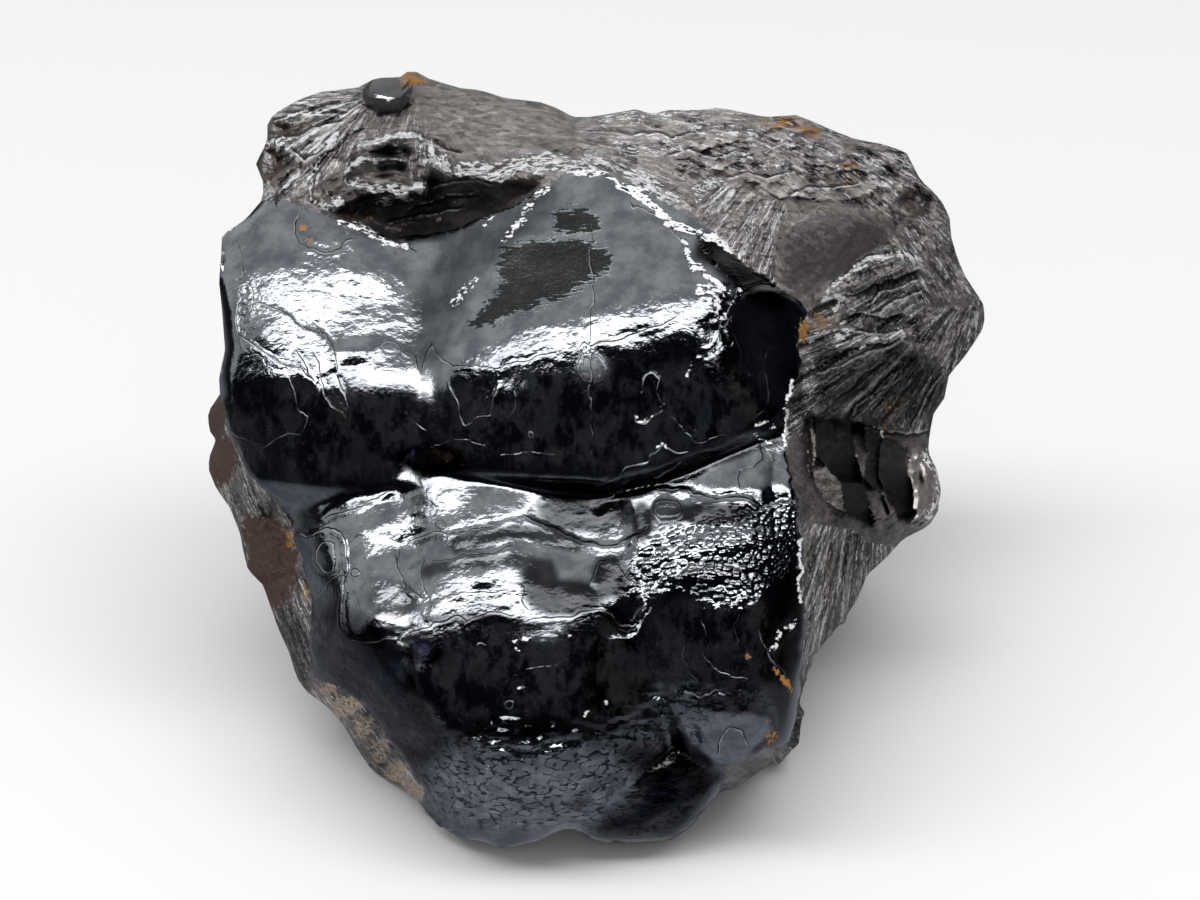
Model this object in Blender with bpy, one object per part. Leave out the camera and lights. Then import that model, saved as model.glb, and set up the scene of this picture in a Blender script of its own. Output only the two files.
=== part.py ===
"""Rough hematite: a broken hand specimen of kidney ore, one solid stone.

Millimetres are used while shaping, metres in the finished mesh.  +Z is up and the
stone rests on its broken underside.  The front is a mirror-black kidney skin of
five swells; everything round it is the rough break through the fibres.

The stone is set out the way a carver sets out a relief: an outline drawn square to
a line of sight that looks down on the glossy face, and depths measured along that
line.  The drawing has 8.2 squares to a millimetre; x runs right and y runs down.
"""
import math

import bmesh
import bpy
import numpy as np

# ---- driving dimensions -------------------------------------------------------
WIDTH = 0.095             # metres, left to right across the stone, at its widest
SIGHT_PITCH = 30.0        # degrees the line of sight looks down on the stone
SIGHT_DISTANCE = 600.0    # mm from the sight point to the depth-zero plane
SQUARES_PER_MM = 8.2      # squares of the drawing to a millimetre
REST_HEIGHT = 37.5        # mm from the drawing's centre down to the flat underside
BACK_REACH = 41.0         # mm from the drawing's centre to the upright back break
RIM_ROUNDING = 12.0       # squares over which the front turns into the rim
VALLEY_SOFTNESS = 0.5     # mm, how tightly two swells meet
SUBDIVISIONS = 5          # of the icosphere the stone starts from: 5,120 triangles

CENTRE = (600.0, 450.0)   # where the line of sight meets the drawing
HUB = (595.0, 455.0)      # the outline is seen once in every direction from here

# ---- outline: x, y in squares, depth of the rim in mm (plus is nearer) --------
OUTLINE = [
    (222, 235, -9), (246, 219, -10), (262, 200, -12), (264, 188, -14),
    (262, 176, -15), (256, 164, -15), (262, 151, -15), (268, 141, -15),
    (266, 130, -16), (269, 119, -17), (279, 111, -18), (298, 100, -20),
    (320, 92, -21), (345, 89, -21), (361, 87, -21), (370, 80, -20),
    (385, 77, -20), (399, 78, -20), (406, 72, -21), (414, 70, -22),
    (424, 77, -22), (440, 82, -22), (460, 88, -22), (480, 90, -23),
    (505, 98, -23), (540, 102, -24), (557, 108, -24), (573, 117, -24),
    (590, 117, -24), (620, 112, -25), (636, 109, -25), (652, 114, -25),
    (667, 110, -25), (700, 110, -26), (717, 107, -26), (742, 112, -26),
    (765, 117, -26), (796, 115, -26), (812, 121, -26), (832, 130, -27),
    (855, 139, -27), (882, 144, -28), (906, 152, -29), (913, 165, -29),
    (921, 181, -30), (934, 192, -30), (944, 205, -31), (950, 219, -31),
    (951, 236, -31), (957, 257, -31), (965, 276, -31), (975, 291, -31),
    (983, 303, -31), (985, 318, -31), (982, 331, -30), (972, 346, -29),
    (958, 366, -28), (950, 370, -27), (944, 400, -25), (934, 412, -24),
    (930, 432, -23), (928, 452, -21), (937, 470, -20), (941, 490, -19),
    (938, 511, -18), (929, 526, -17), (903, 539, -15), (886, 558, -13),
    (867, 575, -11), (858, 598, -9), (845, 618, -6), (828, 638, -3),
    (811, 660, 2), (804, 680, 6), (800, 700, 8), (796, 720, 9),
    (788, 746, 8), (765, 767, 5), (735, 789, 2), (721, 791, 4),
    (712, 800, 8), (692, 826, 9), (672, 840, 9), (640, 842, 9),
    (608, 843, 9), (590, 838, 9), (575, 829, 10), (563, 829, 10),
    (545, 839, 10), (525, 844, 11), (502, 849, 11), (485, 842, 11),
    (462, 838, 10), (440, 827, 8), (425, 813, 7), (418, 800, 6),
    (403, 788, 4), (399, 781, 2), (388, 781, -4), (370, 768, -6),
    (357, 748, -4), (345, 727, 0), (330, 709, -2), (306, 691, -6),
    (297, 678, -6), (289, 652, -7), (278, 628, -8), (270, 605, -9),
    (263, 585, -9), (248, 570, -10), (243, 550, -10), (240, 533, -10),
    (230, 508, -11), (216, 488, -12), (208, 468, -13), (210, 455, -13),
    (216, 440, -12), (209, 430, -13), (208, 415, -13), (212, 404, -13),
    (220, 397, -9), (219, 378, -6), (225, 350, -5), (222, 310, -5),
    (219, 282, -5), (221, 258, -5),
]

# ---- edge of the glossy skin, from the upper left corner clockwise -----------
SKIN_EDGE = [
    (262, 200), (285, 200), (303, 204), (320, 212), (345, 219), (370, 229),
    (400, 237), (430, 235), (465, 224), (500, 210), (530, 196), (548, 184),
    (566, 173), (585, 169), (605, 171), (625, 181), (650, 190), (667, 203),
    (690, 214), (712, 226), (732, 241), (748, 257), (762, 272), (781, 286),
    (796, 300), (806, 310), (804, 322), (797, 345), (800, 362), (799, 382),
    (792, 396), (786, 408), (786, 425), (788, 445), (787, 462), (791, 482),
    (797, 498), (797, 512), (798, 530), (804, 548), (803, 570), (800, 592),
    (804, 612), (803, 640), (802, 668), (800, 700), (796, 720), (788, 743),
    (762, 750), (745, 757), (726, 768), (721, 788), (712, 800), (692, 826),
    (672, 840), (640, 842), (608, 843), (590, 838), (575, 829), (563, 829),
    (545, 839), (525, 844), (502, 849), (485, 842), (462, 838), (440, 827),
    (425, 813), (420, 800), (424, 790), (415, 778), (404, 762), (394, 745),
    (384, 728), (374, 713), (358, 699), (340, 690), (322, 681), (314, 668),
    (308, 645), (310, 620), (312, 600), (308, 583), (302, 562), (296, 545),
    (296, 528), (290, 514), (279, 500), (262, 486), (247, 470), (238, 450),
    (229, 427), (222, 405), (219, 378), (225, 350), (222, 310), (219, 282),
    (221, 258), (222, 235), (246, 219),
]

# ---- the five swells of the skin: x, y in squares, depth in mm ---------------
UPPER_LEFT = [
    (225, 235, -8), (262, 203, -8.5), (300, 212, -5.5), (345, 225, -4),
    (400, 240, -4.5), (422, 258, -3.6), (238, 270, -3), (280, 270, -0.8),
    (330, 270, -0.2), (380, 275, -0.2), (420, 290, -0.2), (232, 320, -0.5),
    (275, 320, 2.2), (330, 325, 3.3), (380, 330, 3.6), (422, 340, 3.6),
    (228, 372, 1.4), (270, 375, 4.6), (330, 372, 6.2), (385, 378, 6.9),
    (424, 385, 6.8), (234, 430, 1.6), (290, 430, 6.2), (340, 430, 8.0),
    (390, 435, 8.4), (424, 440, 8.0), (258, 478, 2.2), (320, 485, 6.6),
    (380, 485, 8.0), (424, 485, 8.4),
]
UPPER_RIGHT = [
    (425, 240, -5.5), (460, 228, -2.4), (490, 220, 0.8), (520, 205, 0.4),
    (560, 180, -0.6), (600, 174, 0.0), (640, 186, 1.4), (665, 203, 2.8),
    (700, 223, 3.6), (725, 240, 3.6), (430, 300, -1.0), (520, 280, 7.2),
    (480, 270, 4.0), (570, 250, 6.2), (620, 240, 6.6), (660, 260, 9.0),
    (570, 300, 10.6), (640, 290, 11.4), (690, 270, 9.2), (450, 362, 9.0),
    (500, 347, 11.6), (570, 327, 13.0), (640, 307, 13.1), (700, 292, 12.0),
    (455, 385, 10.4), (505, 370, 12.7), (575, 350, 14.3), (645, 330, 14.3),
    (705, 315, 13.0), (440, 420, 10.0), (480, 420, 12.6), (540, 410, 15.2),
    (600, 405, 16.0), (660, 385, 16.0), (710, 365, 14.6), (430, 465, 9.6),
    (480, 462, 12.8), (540, 470, 15.4), (600, 475, 16.3), (660, 462, 16.6),
    (720, 440, 15.6), (745, 275, 6.6), (755, 300, 8.4), (800, 318, 2.6),
    (750, 345, 11.0), (795, 345, 5.0), (760, 390, 12.6), (792, 396, 9.0),
    (780, 415, 12.0),
]
LOWER_LEFT = [
    (285, 500, -1), (310, 492, 4), (360, 485, 7.2), (430, 476, 9.4),
    (480, 480, 12.0), (540, 492, 13.6), (600, 500, 14.4), (640, 500, 14.8),
    (300, 530, 1), (306, 570, 1.2), (312, 610, 2.2), (320, 500, 4.6),
    (320, 540, 6.0), (320, 580, 7), (320, 620, 8), (318, 660, 5),
    (350, 490, 6.8), (350, 520, 8.6), (350, 560, 11), (350, 600, 13.6),
    (350, 640, 15.2), (350, 685, 10), (400, 490, 8.4), (400, 520, 11.0),
    (400, 560, 14.5), (400, 600, 17.2), (400, 640, 19.4), (400, 700, 20),
    (400, 740, 13), (440, 530, 14.8), (440, 580, 18.4), (440, 620, 21),
    (440, 680, 22.8), (440, 720, 22.6), (440, 760, 18.6), (440, 800, 13),
    (480, 575, 19.6), (480, 615, 21.8), (480, 700, 23.7), (480, 745, 23.4),
    (480, 800, 19.1), (480, 835, 13.5), (540, 530, 17), (540, 580, 20.6),
    (540, 620, 23), (540, 680, 25), (540, 720, 25.4), (540, 760, 24.4),
    (540, 800, 20.6), (540, 830, 15.6), (600, 540, 18), (600, 580, 20.6),
    (600, 620, 22.4), (600, 680, 23.8), (600, 720, 23.6), (600, 760, 21.8),
    (600, 795, 18), (640, 540, 17.8), (640, 580, 19.4), (640, 620, 20.2),
    (640, 680, 20.8), (640, 720, 20.4), (650, 750, 18),
]
LOWER_RIGHT = [
    (640, 498, 15.4), (680, 482, 15.0), (720, 465, 14.8), (760, 445, 13),
    (786, 425, 11), (640, 540, 18.6), (680, 520, 18.4), (720, 510, 18.6),
    (760, 500, 17.0), (792, 490, 13.5), (640, 580, 20.6), (690, 570, 21.8),
    (740, 560, 21.4), (775, 550, 19.4), (797, 545, 16.0), (650, 630, 21.2),
    (700, 630, 23.4), (750, 620, 23.4), (785, 615, 20.6), (800, 612, 17),
    (660, 680, 20.2), (700, 680, 22.8), (750, 680, 23.2), (785, 675, 20.4),
    (800, 670, 16.6), (680, 720, 19.4), (715, 725, 21.2), (755, 720, 21.2),
    (786, 715, 17.6), (690, 752, 15.6), (730, 755, 17.6), (760, 748, 17.2),
    (785, 742, 13.6),
]
LOWEST = [
    (575, 825, 13), (600, 800, 15), (640, 780, 16.2), (680, 765, 16),
    (715, 775, 12.4), (620, 825, 15.6), (660, 815, 16.6), (690, 800, 15),
    (640, 838, 12.4), (675, 832, 12),
]
SWELLS = [UPPER_LEFT, UPPER_RIGHT, LOWER_LEFT, LOWER_RIGHT, LOWEST]

# ---- the break round the skin: x, y in squares, depth in mm ------------------
BREAK = [
    # dome at the upper left, with the lip over the hollow
    (290, 180, -10.5), (300, 150, -13), (330, 125, -15.5), (365, 110, -17),
    (400, 112, -17), (345, 152, -11), (372, 140, -11), (400, 134, -11.5),
    (425, 138, -11), (437, 160, -8), (470, 172, -6), (500, 176, -5),
    (530, 172, -4), (450, 120, -16), (480, 140, -11.5), (510, 150, -9),
    (550, 150, -9.5), (562, 128, -18), (578, 148, -10),
    # floor of the hollow, before it is carved
    (360, 190, -9), (400, 200, -9), (440, 200, -8), (480, 195, -7),
    # rough top at the right
    (620, 145, -13), (640, 165, -7), (700, 150, -15), (700, 190, -5.5),
    (760, 150, -17), (760, 200, -8.5), (840, 170, -22), (900, 185, -27),
    (820, 205, -13.5), (775, 240, -2.5), (870, 215, -16.5), (790, 270, -1),
    (880, 255, -15), (850, 270, -9.5), (825, 290, -4),
    # right face, turned away from the skin
    (850, 305, -7), (900, 300, -17), (950, 300, -26), (930, 255, -25),
    (830, 350, -1), (870, 350, -8.5), (920, 350, -18), (960, 340, -26),
    (830, 400, 1), (870, 400, -6.5), (910, 400, -15), (815, 440, 6),
    (835, 460, 1.5), (855, 490, -1), (868, 480, -4), (880, 450, -8.5),
    (905, 450, -14), (900, 505, -11), (922, 485, -13.5), (845, 515, 0.5),
    (875, 525, -5.5), (830, 560, 5), (860, 555, -3), (880, 545, -8),
    (830, 605, 4), (848, 600, -1), (815, 640, 8),
    # small break at the lower right
    (755, 762, 9.5), (742, 775, 6),
    # brown back edge down the left side, and the crusted lower left
    (225, 450, -8), (240, 500, -6), (262, 540, -5.5), (285, 570, -3),
    (283, 620, -4.5), (302, 660, -3.5), (320, 700, -1), (350, 722, 2.5),
    (380, 758, -1.5), (402, 775, 4),
]

# ---- hollows: outline in squares, how deep in mm, how wide the wall is -------
HOLLOWS = [
    ([(310, 190), (330, 204), (350, 200), (372, 192), (400, 198), (425, 187),
      (432, 168), (452, 172), (500, 181), (546, 179), (528, 192), (500, 206),
      (465, 220), (425, 232), (392, 231), (350, 218), (322, 208)], 6.0, 20.0),
    ([(250, 158), (270, 147), (286, 152), (300, 164), (285, 172), (266, 188),
      (250, 190)], 2.5, 18.0),
    ([(885, 190), (915, 180), (940, 200), (932, 222), (900, 226)], 4.0, 18.0),
]
# ---- the glossy bead on the top: centre in squares, radii, height in mm ------
BEAD = ((387, 96), (24.0, 18.0), 3.2)

# ---- flats of the hidden back: which way each faces, mm from the centre ------
BACK_FLATS = [
    ((0.00, 1.00, 0.02), BACK_REACH),
    ((-0.55, 0.83, 0.10), 46.0),
    ((0.50, 0.85, -0.12), 56.0),
    ((0.08, 0.94, -0.33), 43.5),
    ((-0.66, 0.50, -0.56), 47.0),
    ((0.74, 0.40, -0.54), 50.0),
    ((0.00, 0.00, -1.00), REST_HEIGHT + 6.0),
]
BACK_BULGE = 84.0         # mm the back would reach if no flat were broken off it
BACK_SQUARENESS = 3.0     # 2 rounds the back like a ball, more makes it blockier
RUB_PASSES = 2            # times the shell is rubbed down, all but its rim


def smooth_step(low, high, value):
    t = np.clip((value - low) / (high - low), 0.0, 1.0)
    return t * t * (3.0 - 2.0 * t)


def smooth_max(layers, softness):
    layers = np.array(layers)
    top = layers.max(axis=0)
    return top + softness * np.log(np.exp((layers - top) / softness).sum(axis=0))


def sheet(points, x, y):
    """The thin bent sheet that passes through the given depths."""
    p = np.array(points, dtype=float)
    cx, cy = p[:, 0] / 100.0, p[:, 1] / 100.0
    gap = (cx[:, None] - cx[None, :]) ** 2 + (cy[:, None] - cy[None, :]) ** 2
    bend = 0.5 * gap * np.log(gap + 1e-12) + 0.02 * np.eye(len(p))
    flat = np.column_stack([np.ones(len(p)), cx, cy])
    system = np.block([[bend, flat], [flat.T, np.zeros((3, 3))]])
    solved = np.linalg.solve(system, np.append(p[:, 2], [0.0, 0.0, 0.0]))
    x, y = x / 100.0, y / 100.0
    depth = solved[-3] + solved[-2] * x + solved[-1] * y
    for px, py, pull in zip(cx, cy, solved[:-3]):
        gap = (x - px) ** 2 + (y - py) ** 2
        depth = depth + pull * 0.5 * gap * np.log(gap + 1e-12)
    return depth


def edges(outline):
    here = np.array([point[:2] for point in outline], dtype=float)
    return zip(here, np.roll(here, -1, axis=0))


def inside_by(outline, x, y):
    """Distance to an outline in squares, plus inside it and minus outside."""
    nearest = np.full(x.shape, 1e9)
    inside = np.zeros(x.shape, dtype=bool)
    for (x0, y0), (x1, y1) in edges(outline):
        dx, dy = x1 - x0, y1 - y0
        t = np.clip(((x - x0) * dx + (y - y0) * dy) / (dx * dx + dy * dy), 0.0, 1.0)
        nearest = np.minimum(nearest, np.hypot(x - x0 - t * dx, y - y0 - t * dy))
        if y0 != y1:
            crosses = (y0 > y) != (y1 > y)
            inside ^= crosses & (x < dx * (y - y0) / dy + x0)
    return np.where(inside, nearest, -nearest)


def hull(points):
    """Smallest outward-bowed outline round some points."""
    ordered = sorted((float(p[0]), float(p[1])) for p in points)
    sides = []
    for run in (ordered, ordered[::-1]):
        side = []
        for q in run:
            while len(side) > 1:
                (ax, ay), (bx, by) = side[-2], side[-1]
                if (bx - ax) * (q[1] - by) - (by - ay) * (q[0] - bx) > 0.0:
                    break
                side.pop()
            side.append(q)
        sides += side[:-1]
    return sides


def skin_depth(x, y):
    """The kidney skin: five swells, each dropping away beyond its own ground."""
    layers = []
    for swell in SWELLS:
        beyond = np.clip(-inside_by(hull(swell), x, y), 0.0, None)
        layers.append(sheet(swell, x, y) - 0.03 * beyond - 0.004 * beyond ** 2)
    return smooth_max(layers, VALLEY_SOFTNESS)


def break_depth(x, y):
    """The rough break: it starts just under the skin's edge and ends at the rim."""
    edge = np.array(SKIN_EDGE, dtype=float)
    under_skin = skin_depth(edge[:, 0], edge[:, 1]) - 0.4
    anchors = [(ex, ey, w) for (ex, ey), w in zip(SKIN_EDGE, under_skin)]
    skin_reach = inside_by(SKIN_EDGE, *np.array(OUTLINE, dtype=float).T[:2])
    for (ox, oy, w), reach in zip(OUTLINE, skin_reach):
        if reach < -6.0:
            anchors.append((ox, oy, w + 1.5))
    depth = sheet(anchors + BREAK, x, y)
    for hollow, deep, wall in HOLLOWS:
        depth = depth - deep * smooth_step(0.0, wall, inside_by(hollow, x, y))
    (bx, by), (rx, ry), high = BEAD
    round_bead = 1.0 - ((x - bx) / rx) ** 2 - ((y - by) / ry) ** 2
    return depth + high * np.sqrt(np.clip(round_bead, 0.0, 1.0))


def rim(angle):
    """Where a ray from the hub crosses the outline: its length and rim depth."""
    cos, sin = np.cos(angle), np.sin(angle)
    reach = np.zeros(angle.shape)
    depth = np.zeros(angle.shape)
    for i, (x0, y0, w0) in enumerate(OUTLINE):
        x1, y1, w1 = OUTLINE[(i + 1) % len(OUTLINE)]
        ax, ay, dx, dy = x0 - HUB[0], y0 - HUB[1], x1 - x0, y1 - y0
        across = cos * dy - sin * dx
        across = np.where(np.abs(across) < 1e-9, 1e-9, across)
        length = (ax * dy - ay * dx) / across
        along = (ax * sin - ay * cos) / across
        hit = (along >= -1e-9) & (along <= 1.0 + 1e-9) & (length > reach)
        reach = np.where(hit, length, reach)
        depth = np.where(hit, w0 + (w1 - w0) * np.clip(along, 0.0, 1.0), depth)
    return reach, depth


def to_space(x, y, w):
    """From drawing squares and depth to millimetres, +Z up, spreading from the
    sight point so that nearer things are drawn larger."""
    pitch = math.radians(SIGHT_PITCH)
    spread = (SIGHT_DISTANCE - w) / SIGHT_DISTANCE / SQUARES_PER_MM
    u, v = (x - CENTRE[0]) * spread, (CENTRE[1] - y) * spread
    sin, cos = math.sin(pitch), math.cos(pitch)
    return np.column_stack([u, v * sin - w * cos, v * cos + w * sin])


def flats_depth(x, y):
    """Depth at which the line of sight leaves the stone through its back flats."""
    pitch = math.radians(SIGHT_PITCH)
    sin, cos = math.sin(pitch), math.cos(pitch)
    u, v = (x - CENTRE[0]) / SQUARES_PER_MM, (CENTRE[1] - y) / SQUARES_PER_MM
    depths = []
    for (nx, ny, nz), reach in BACK_FLATS:
        facing = -ny * cos + nz * sin
        depths.append((reach - nx * u - (ny * sin + nz * cos) * v) / facing)
    return np.max(depths, axis=0)


def shape_stone(directions):
    """Move the points of a unit ball onto the stone: its pole looks at the sight
    point, its equator becomes the rim and its lower half the hidden back."""
    toward = np.clip(directions[:, 2], -1.0, 1.0)
    toward = np.where(np.abs(toward) < 0.001, 0.0, toward)
    turn = np.arctan2(-directions[:, 1], directions[:, 0])
    reach, rim_w = rim(turn)
    rim_x, rim_y = HUB[0] + reach * np.cos(turn), HUB[1] + reach * np.sin(turn)
    front = toward >= 0.0
    # a tall side wall keeps its points near the rim, a low one lets them spread
    tall = smooth_step(0.0, 35.0, rim_w - flats_depth(rim_x, rim_y))
    even = np.sqrt(1.0 - np.abs(toward))
    boxy = (1.0 - toward ** 2) ** (1.0 / BACK_SQUARENESS)
    out = np.where(front, even, tall * boxy + (1.0 - tall) * even)
    x = HUB[0] + out * (rim_x - HUB[0])
    y = HUB[1] + out * (rim_y - HUB[1])
    on_skin = smooth_step(-3.0, 3.0, inside_by(SKIN_EDGE, x, y))
    w = on_skin * skin_depth(x, y) + (1.0 - on_skin) * break_depth(x, y)
    from_rim = np.clip(inside_by(OUTLINE, x, y) / RIM_ROUNDING, 0.0, 1.0)
    w = rim_w + (w - rim_w) * np.sqrt(1.0 - (1.0 - from_rim) ** 2)
    back = np.maximum(rim_w + BACK_BULGE * toward, flats_depth(x, y))
    w = np.where(front, w, np.minimum(back, rim_w))
    return to_space(x, y, w)


def settle(points):
    """Flatten the underside, scale to the stone's width and centre the base."""
    points[:, 2] = np.maximum(points[:, 2], -REST_HEIGHT)
    low, high = points.min(axis=0), points.max(axis=0)
    middle = np.array([(low[0] + high[0]) / 2, (low[1] + high[1]) / 2, low[2]])
    return (points - middle) * WIDTH / (high[0] - low[0])


def stone_material():
    material = bpy.data.materials.new("hematite")
    material.use_nodes = True
    shader = material.node_tree.nodes["Principled BSDF"]
    shader.inputs["Base Color"].default_value = (0.035, 0.036, 0.04, 1.0)
    shader.inputs["Metallic"].default_value = 0.6
    shader.inputs["Roughness"].default_value = 0.3
    return material


for old in list(bpy.data.objects):
    bpy.data.objects.remove(old, do_unlink=True)

shell = bmesh.new()
bmesh.ops.create_icosphere(shell, subdivisions=SUBDIVISIONS, radius=1.0)
ball = np.array([vertex.co[:] for vertex in shell.verts])
ball /= np.linalg.norm(ball, axis=1)[:, None]
for vertex, place in zip(shell.verts, shape_stone(ball)):
    vertex.co = place
off_rim = [vertex for vertex, at in zip(shell.verts, ball) if abs(at[2]) > 0.001]
for _ in range(RUB_PASSES):
    bmesh.ops.smooth_vert(shell, verts=off_rim, factor=0.5,
                          use_axis_x=True, use_axis_y=True, use_axis_z=True)
rubbed = np.array([vertex.co[:] for vertex in shell.verts])
for vertex, place in zip(shell.verts, settle(rubbed)):
    vertex.co = place
bmesh.ops.recalc_face_normals(shell, faces=shell.faces)
mesh = bpy.data.meshes.new("hematite")
shell.to_mesh(mesh)
shell.free()

stone = bpy.data.objects.new("hematite", mesh)
stone.data.materials.append(stone_material())
collection = bpy.data.collections.new("rough_hematite")
bpy.context.scene.collection.children.link(collection)
collection.objects.link(stone)
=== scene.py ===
# %% [markdown]
# # Rough hematite
#
# A fist-sized piece of kidney ore.  One side is the grown skin: five rounded swells
# that are polished by nature to a black mirror.  Everything round it is the rough
# break, where the stone split along its needle-fine fibres.  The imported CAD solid
# gives the size and the place; this lesson makes the fine surface that stands in
# for it.

# %% The frame
import itertools
import math

import bmesh
import bpy
import numpy as np
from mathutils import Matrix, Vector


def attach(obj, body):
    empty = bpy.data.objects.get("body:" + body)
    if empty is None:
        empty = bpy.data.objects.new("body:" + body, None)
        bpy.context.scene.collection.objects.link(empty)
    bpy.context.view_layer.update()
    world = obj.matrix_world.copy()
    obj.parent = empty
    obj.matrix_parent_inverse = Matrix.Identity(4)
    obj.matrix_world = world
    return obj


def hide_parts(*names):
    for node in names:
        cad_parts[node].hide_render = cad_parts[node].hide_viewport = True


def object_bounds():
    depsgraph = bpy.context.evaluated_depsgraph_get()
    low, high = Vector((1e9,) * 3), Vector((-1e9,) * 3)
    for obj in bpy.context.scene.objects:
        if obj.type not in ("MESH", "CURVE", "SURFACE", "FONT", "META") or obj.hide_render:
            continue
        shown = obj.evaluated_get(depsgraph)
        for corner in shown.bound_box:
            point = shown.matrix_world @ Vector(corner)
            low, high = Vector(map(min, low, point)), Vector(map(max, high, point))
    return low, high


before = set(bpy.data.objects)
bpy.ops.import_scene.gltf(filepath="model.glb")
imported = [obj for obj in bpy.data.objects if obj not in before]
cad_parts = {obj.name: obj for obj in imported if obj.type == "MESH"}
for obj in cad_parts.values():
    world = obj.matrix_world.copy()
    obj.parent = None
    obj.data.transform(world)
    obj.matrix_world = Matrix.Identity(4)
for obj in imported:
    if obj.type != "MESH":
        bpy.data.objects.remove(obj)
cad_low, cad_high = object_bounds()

print("CAD box in mm:", [round(1000 * (b - a), 1) for a, b in zip(cad_low, cad_high)])

# %% [markdown]
# ## The drawing
#
# A stone has no straight edges to measure from, so it is set out the way a carver
# sets out a relief: an outline drawn square to one line of sight, which looks 30
# degrees down on the glossy face, and depths measured along that line.  A mesh
# could also be sculpted freely, but a drawing keeps every crack and hollow in a
# place that can be named.  The drawing has 8.2 squares to a millimetre, x runs
# right, y runs down, and depth w is in millimetres, plus towards the eye.

# %% From the drawing to space
SIGHT_PITCH = math.radians(30.0)
SIGHT_DISTANCE = 600.0      # mm, the eye from the depth-zero plane
SQUARES_PER_MM = 8.2
CENTRE = (600.0, 450.0)     # where the line of sight meets the drawing
REST_HEIGHT = 37.5          # mm from the drawing's centre down to the underside
SIN, COS = math.sin(SIGHT_PITCH), math.cos(SIGHT_PITCH)


def to_space(x, y, w):
    """Drawing squares and depth to millimetres, +Z up, spread from the eye."""
    spread = (SIGHT_DISTANCE - w) / SIGHT_DISTANCE / SQUARES_PER_MM
    u, v = (x - CENTRE[0]) * spread, (CENTRE[1] - y) * spread
    return np.column_stack([u, v * SIN - w * COS, v * COS + w * SIN])


print("a square is", round(1 / SQUARES_PER_MM, 3), "mm")

# %% [markdown]
# ## The outline
#
# The rim is where the stone turns out of sight.  Each point has its own depth,
# because the rim isn't level: the lower front of the stone hangs forward over its
# base and the right-hand corner lies far back.  The second line is the edge of the
# glossy skin, beyond which the stone is broken.

# %% Outline and skin edge
OUTLINE = [
    (222, 235, -9), (246, 219, -10), (262, 200, -12), (264, 188, -14),
    (262, 176, -15), (256, 164, -15), (262, 151, -15), (268, 141, -15),
    (266, 130, -16), (269, 119, -17), (279, 111, -18), (298, 100, -20),
    (320, 92, -21), (345, 89, -21), (361, 87, -21), (370, 80, -20),
    (385, 77, -20), (399, 78, -20), (406, 72, -21), (414, 70, -22),
    (424, 77, -22), (440, 82, -22), (460, 88, -22), (480, 90, -23),
    (505, 98, -23), (540, 102, -24), (557, 108, -24), (573, 117, -24),
    (590, 117, -24), (620, 112, -25), (636, 109, -25), (652, 114, -25),
    (667, 110, -25), (700, 110, -26), (717, 107, -26), (742, 112, -26),
    (765, 117, -26), (796, 115, -26), (812, 121, -26), (832, 130, -27),
    (855, 139, -27), (882, 144, -28), (906, 152, -29), (913, 165, -29),
    (921, 181, -30), (934, 192, -30), (944, 205, -31), (950, 219, -31),
    (951, 236, -31), (957, 257, -31), (965, 276, -31), (975, 291, -31),
    (983, 303, -31), (985, 318, -31), (982, 331, -30), (972, 346, -29),
    (958, 366, -28), (950, 370, -27), (944, 400, -25), (934, 412, -24),
    (930, 432, -23), (928, 452, -21), (937, 470, -20), (941, 490, -19),
    (938, 511, -18), (929, 526, -17), (903, 539, -15), (886, 558, -13),
    (867, 575, -11), (858, 598, -9), (845, 618, -6), (828, 638, -3),
    (811, 660, 2), (804, 680, 6), (800, 700, 8), (796, 720, 9),
    (788, 746, 8), (765, 767, 5), (735, 789, 2), (721, 791, 4),
    (712, 800, 8), (692, 826, 9), (672, 840, 9), (640, 842, 9),
    (608, 843, 9), (590, 838, 9), (575, 829, 10), (563, 829, 10),
    (545, 839, 10), (525, 844, 11), (502, 849, 11), (485, 842, 11),
    (462, 838, 10), (440, 827, 8), (425, 813, 7), (418, 800, 6),
    (403, 788, 4), (399, 781, 2), (388, 781, -4), (370, 768, -6),
    (357, 748, -4), (345, 727, 0), (330, 709, -2), (306, 691, -6),
    (297, 678, -6), (289, 652, -7), (278, 628, -8), (270, 605, -9),
    (263, 585, -9), (248, 570, -10), (243, 550, -10), (240, 533, -10),
    (230, 508, -11), (216, 488, -12), (208, 468, -13), (210, 455, -13),
    (216, 440, -12), (209, 430, -13), (208, 415, -13), (212, 404, -13),
    (220, 397, -9), (219, 378, -6), (225, 350, -5), (222, 310, -5),
    (219, 282, -5), (221, 258, -5),
]
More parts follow.
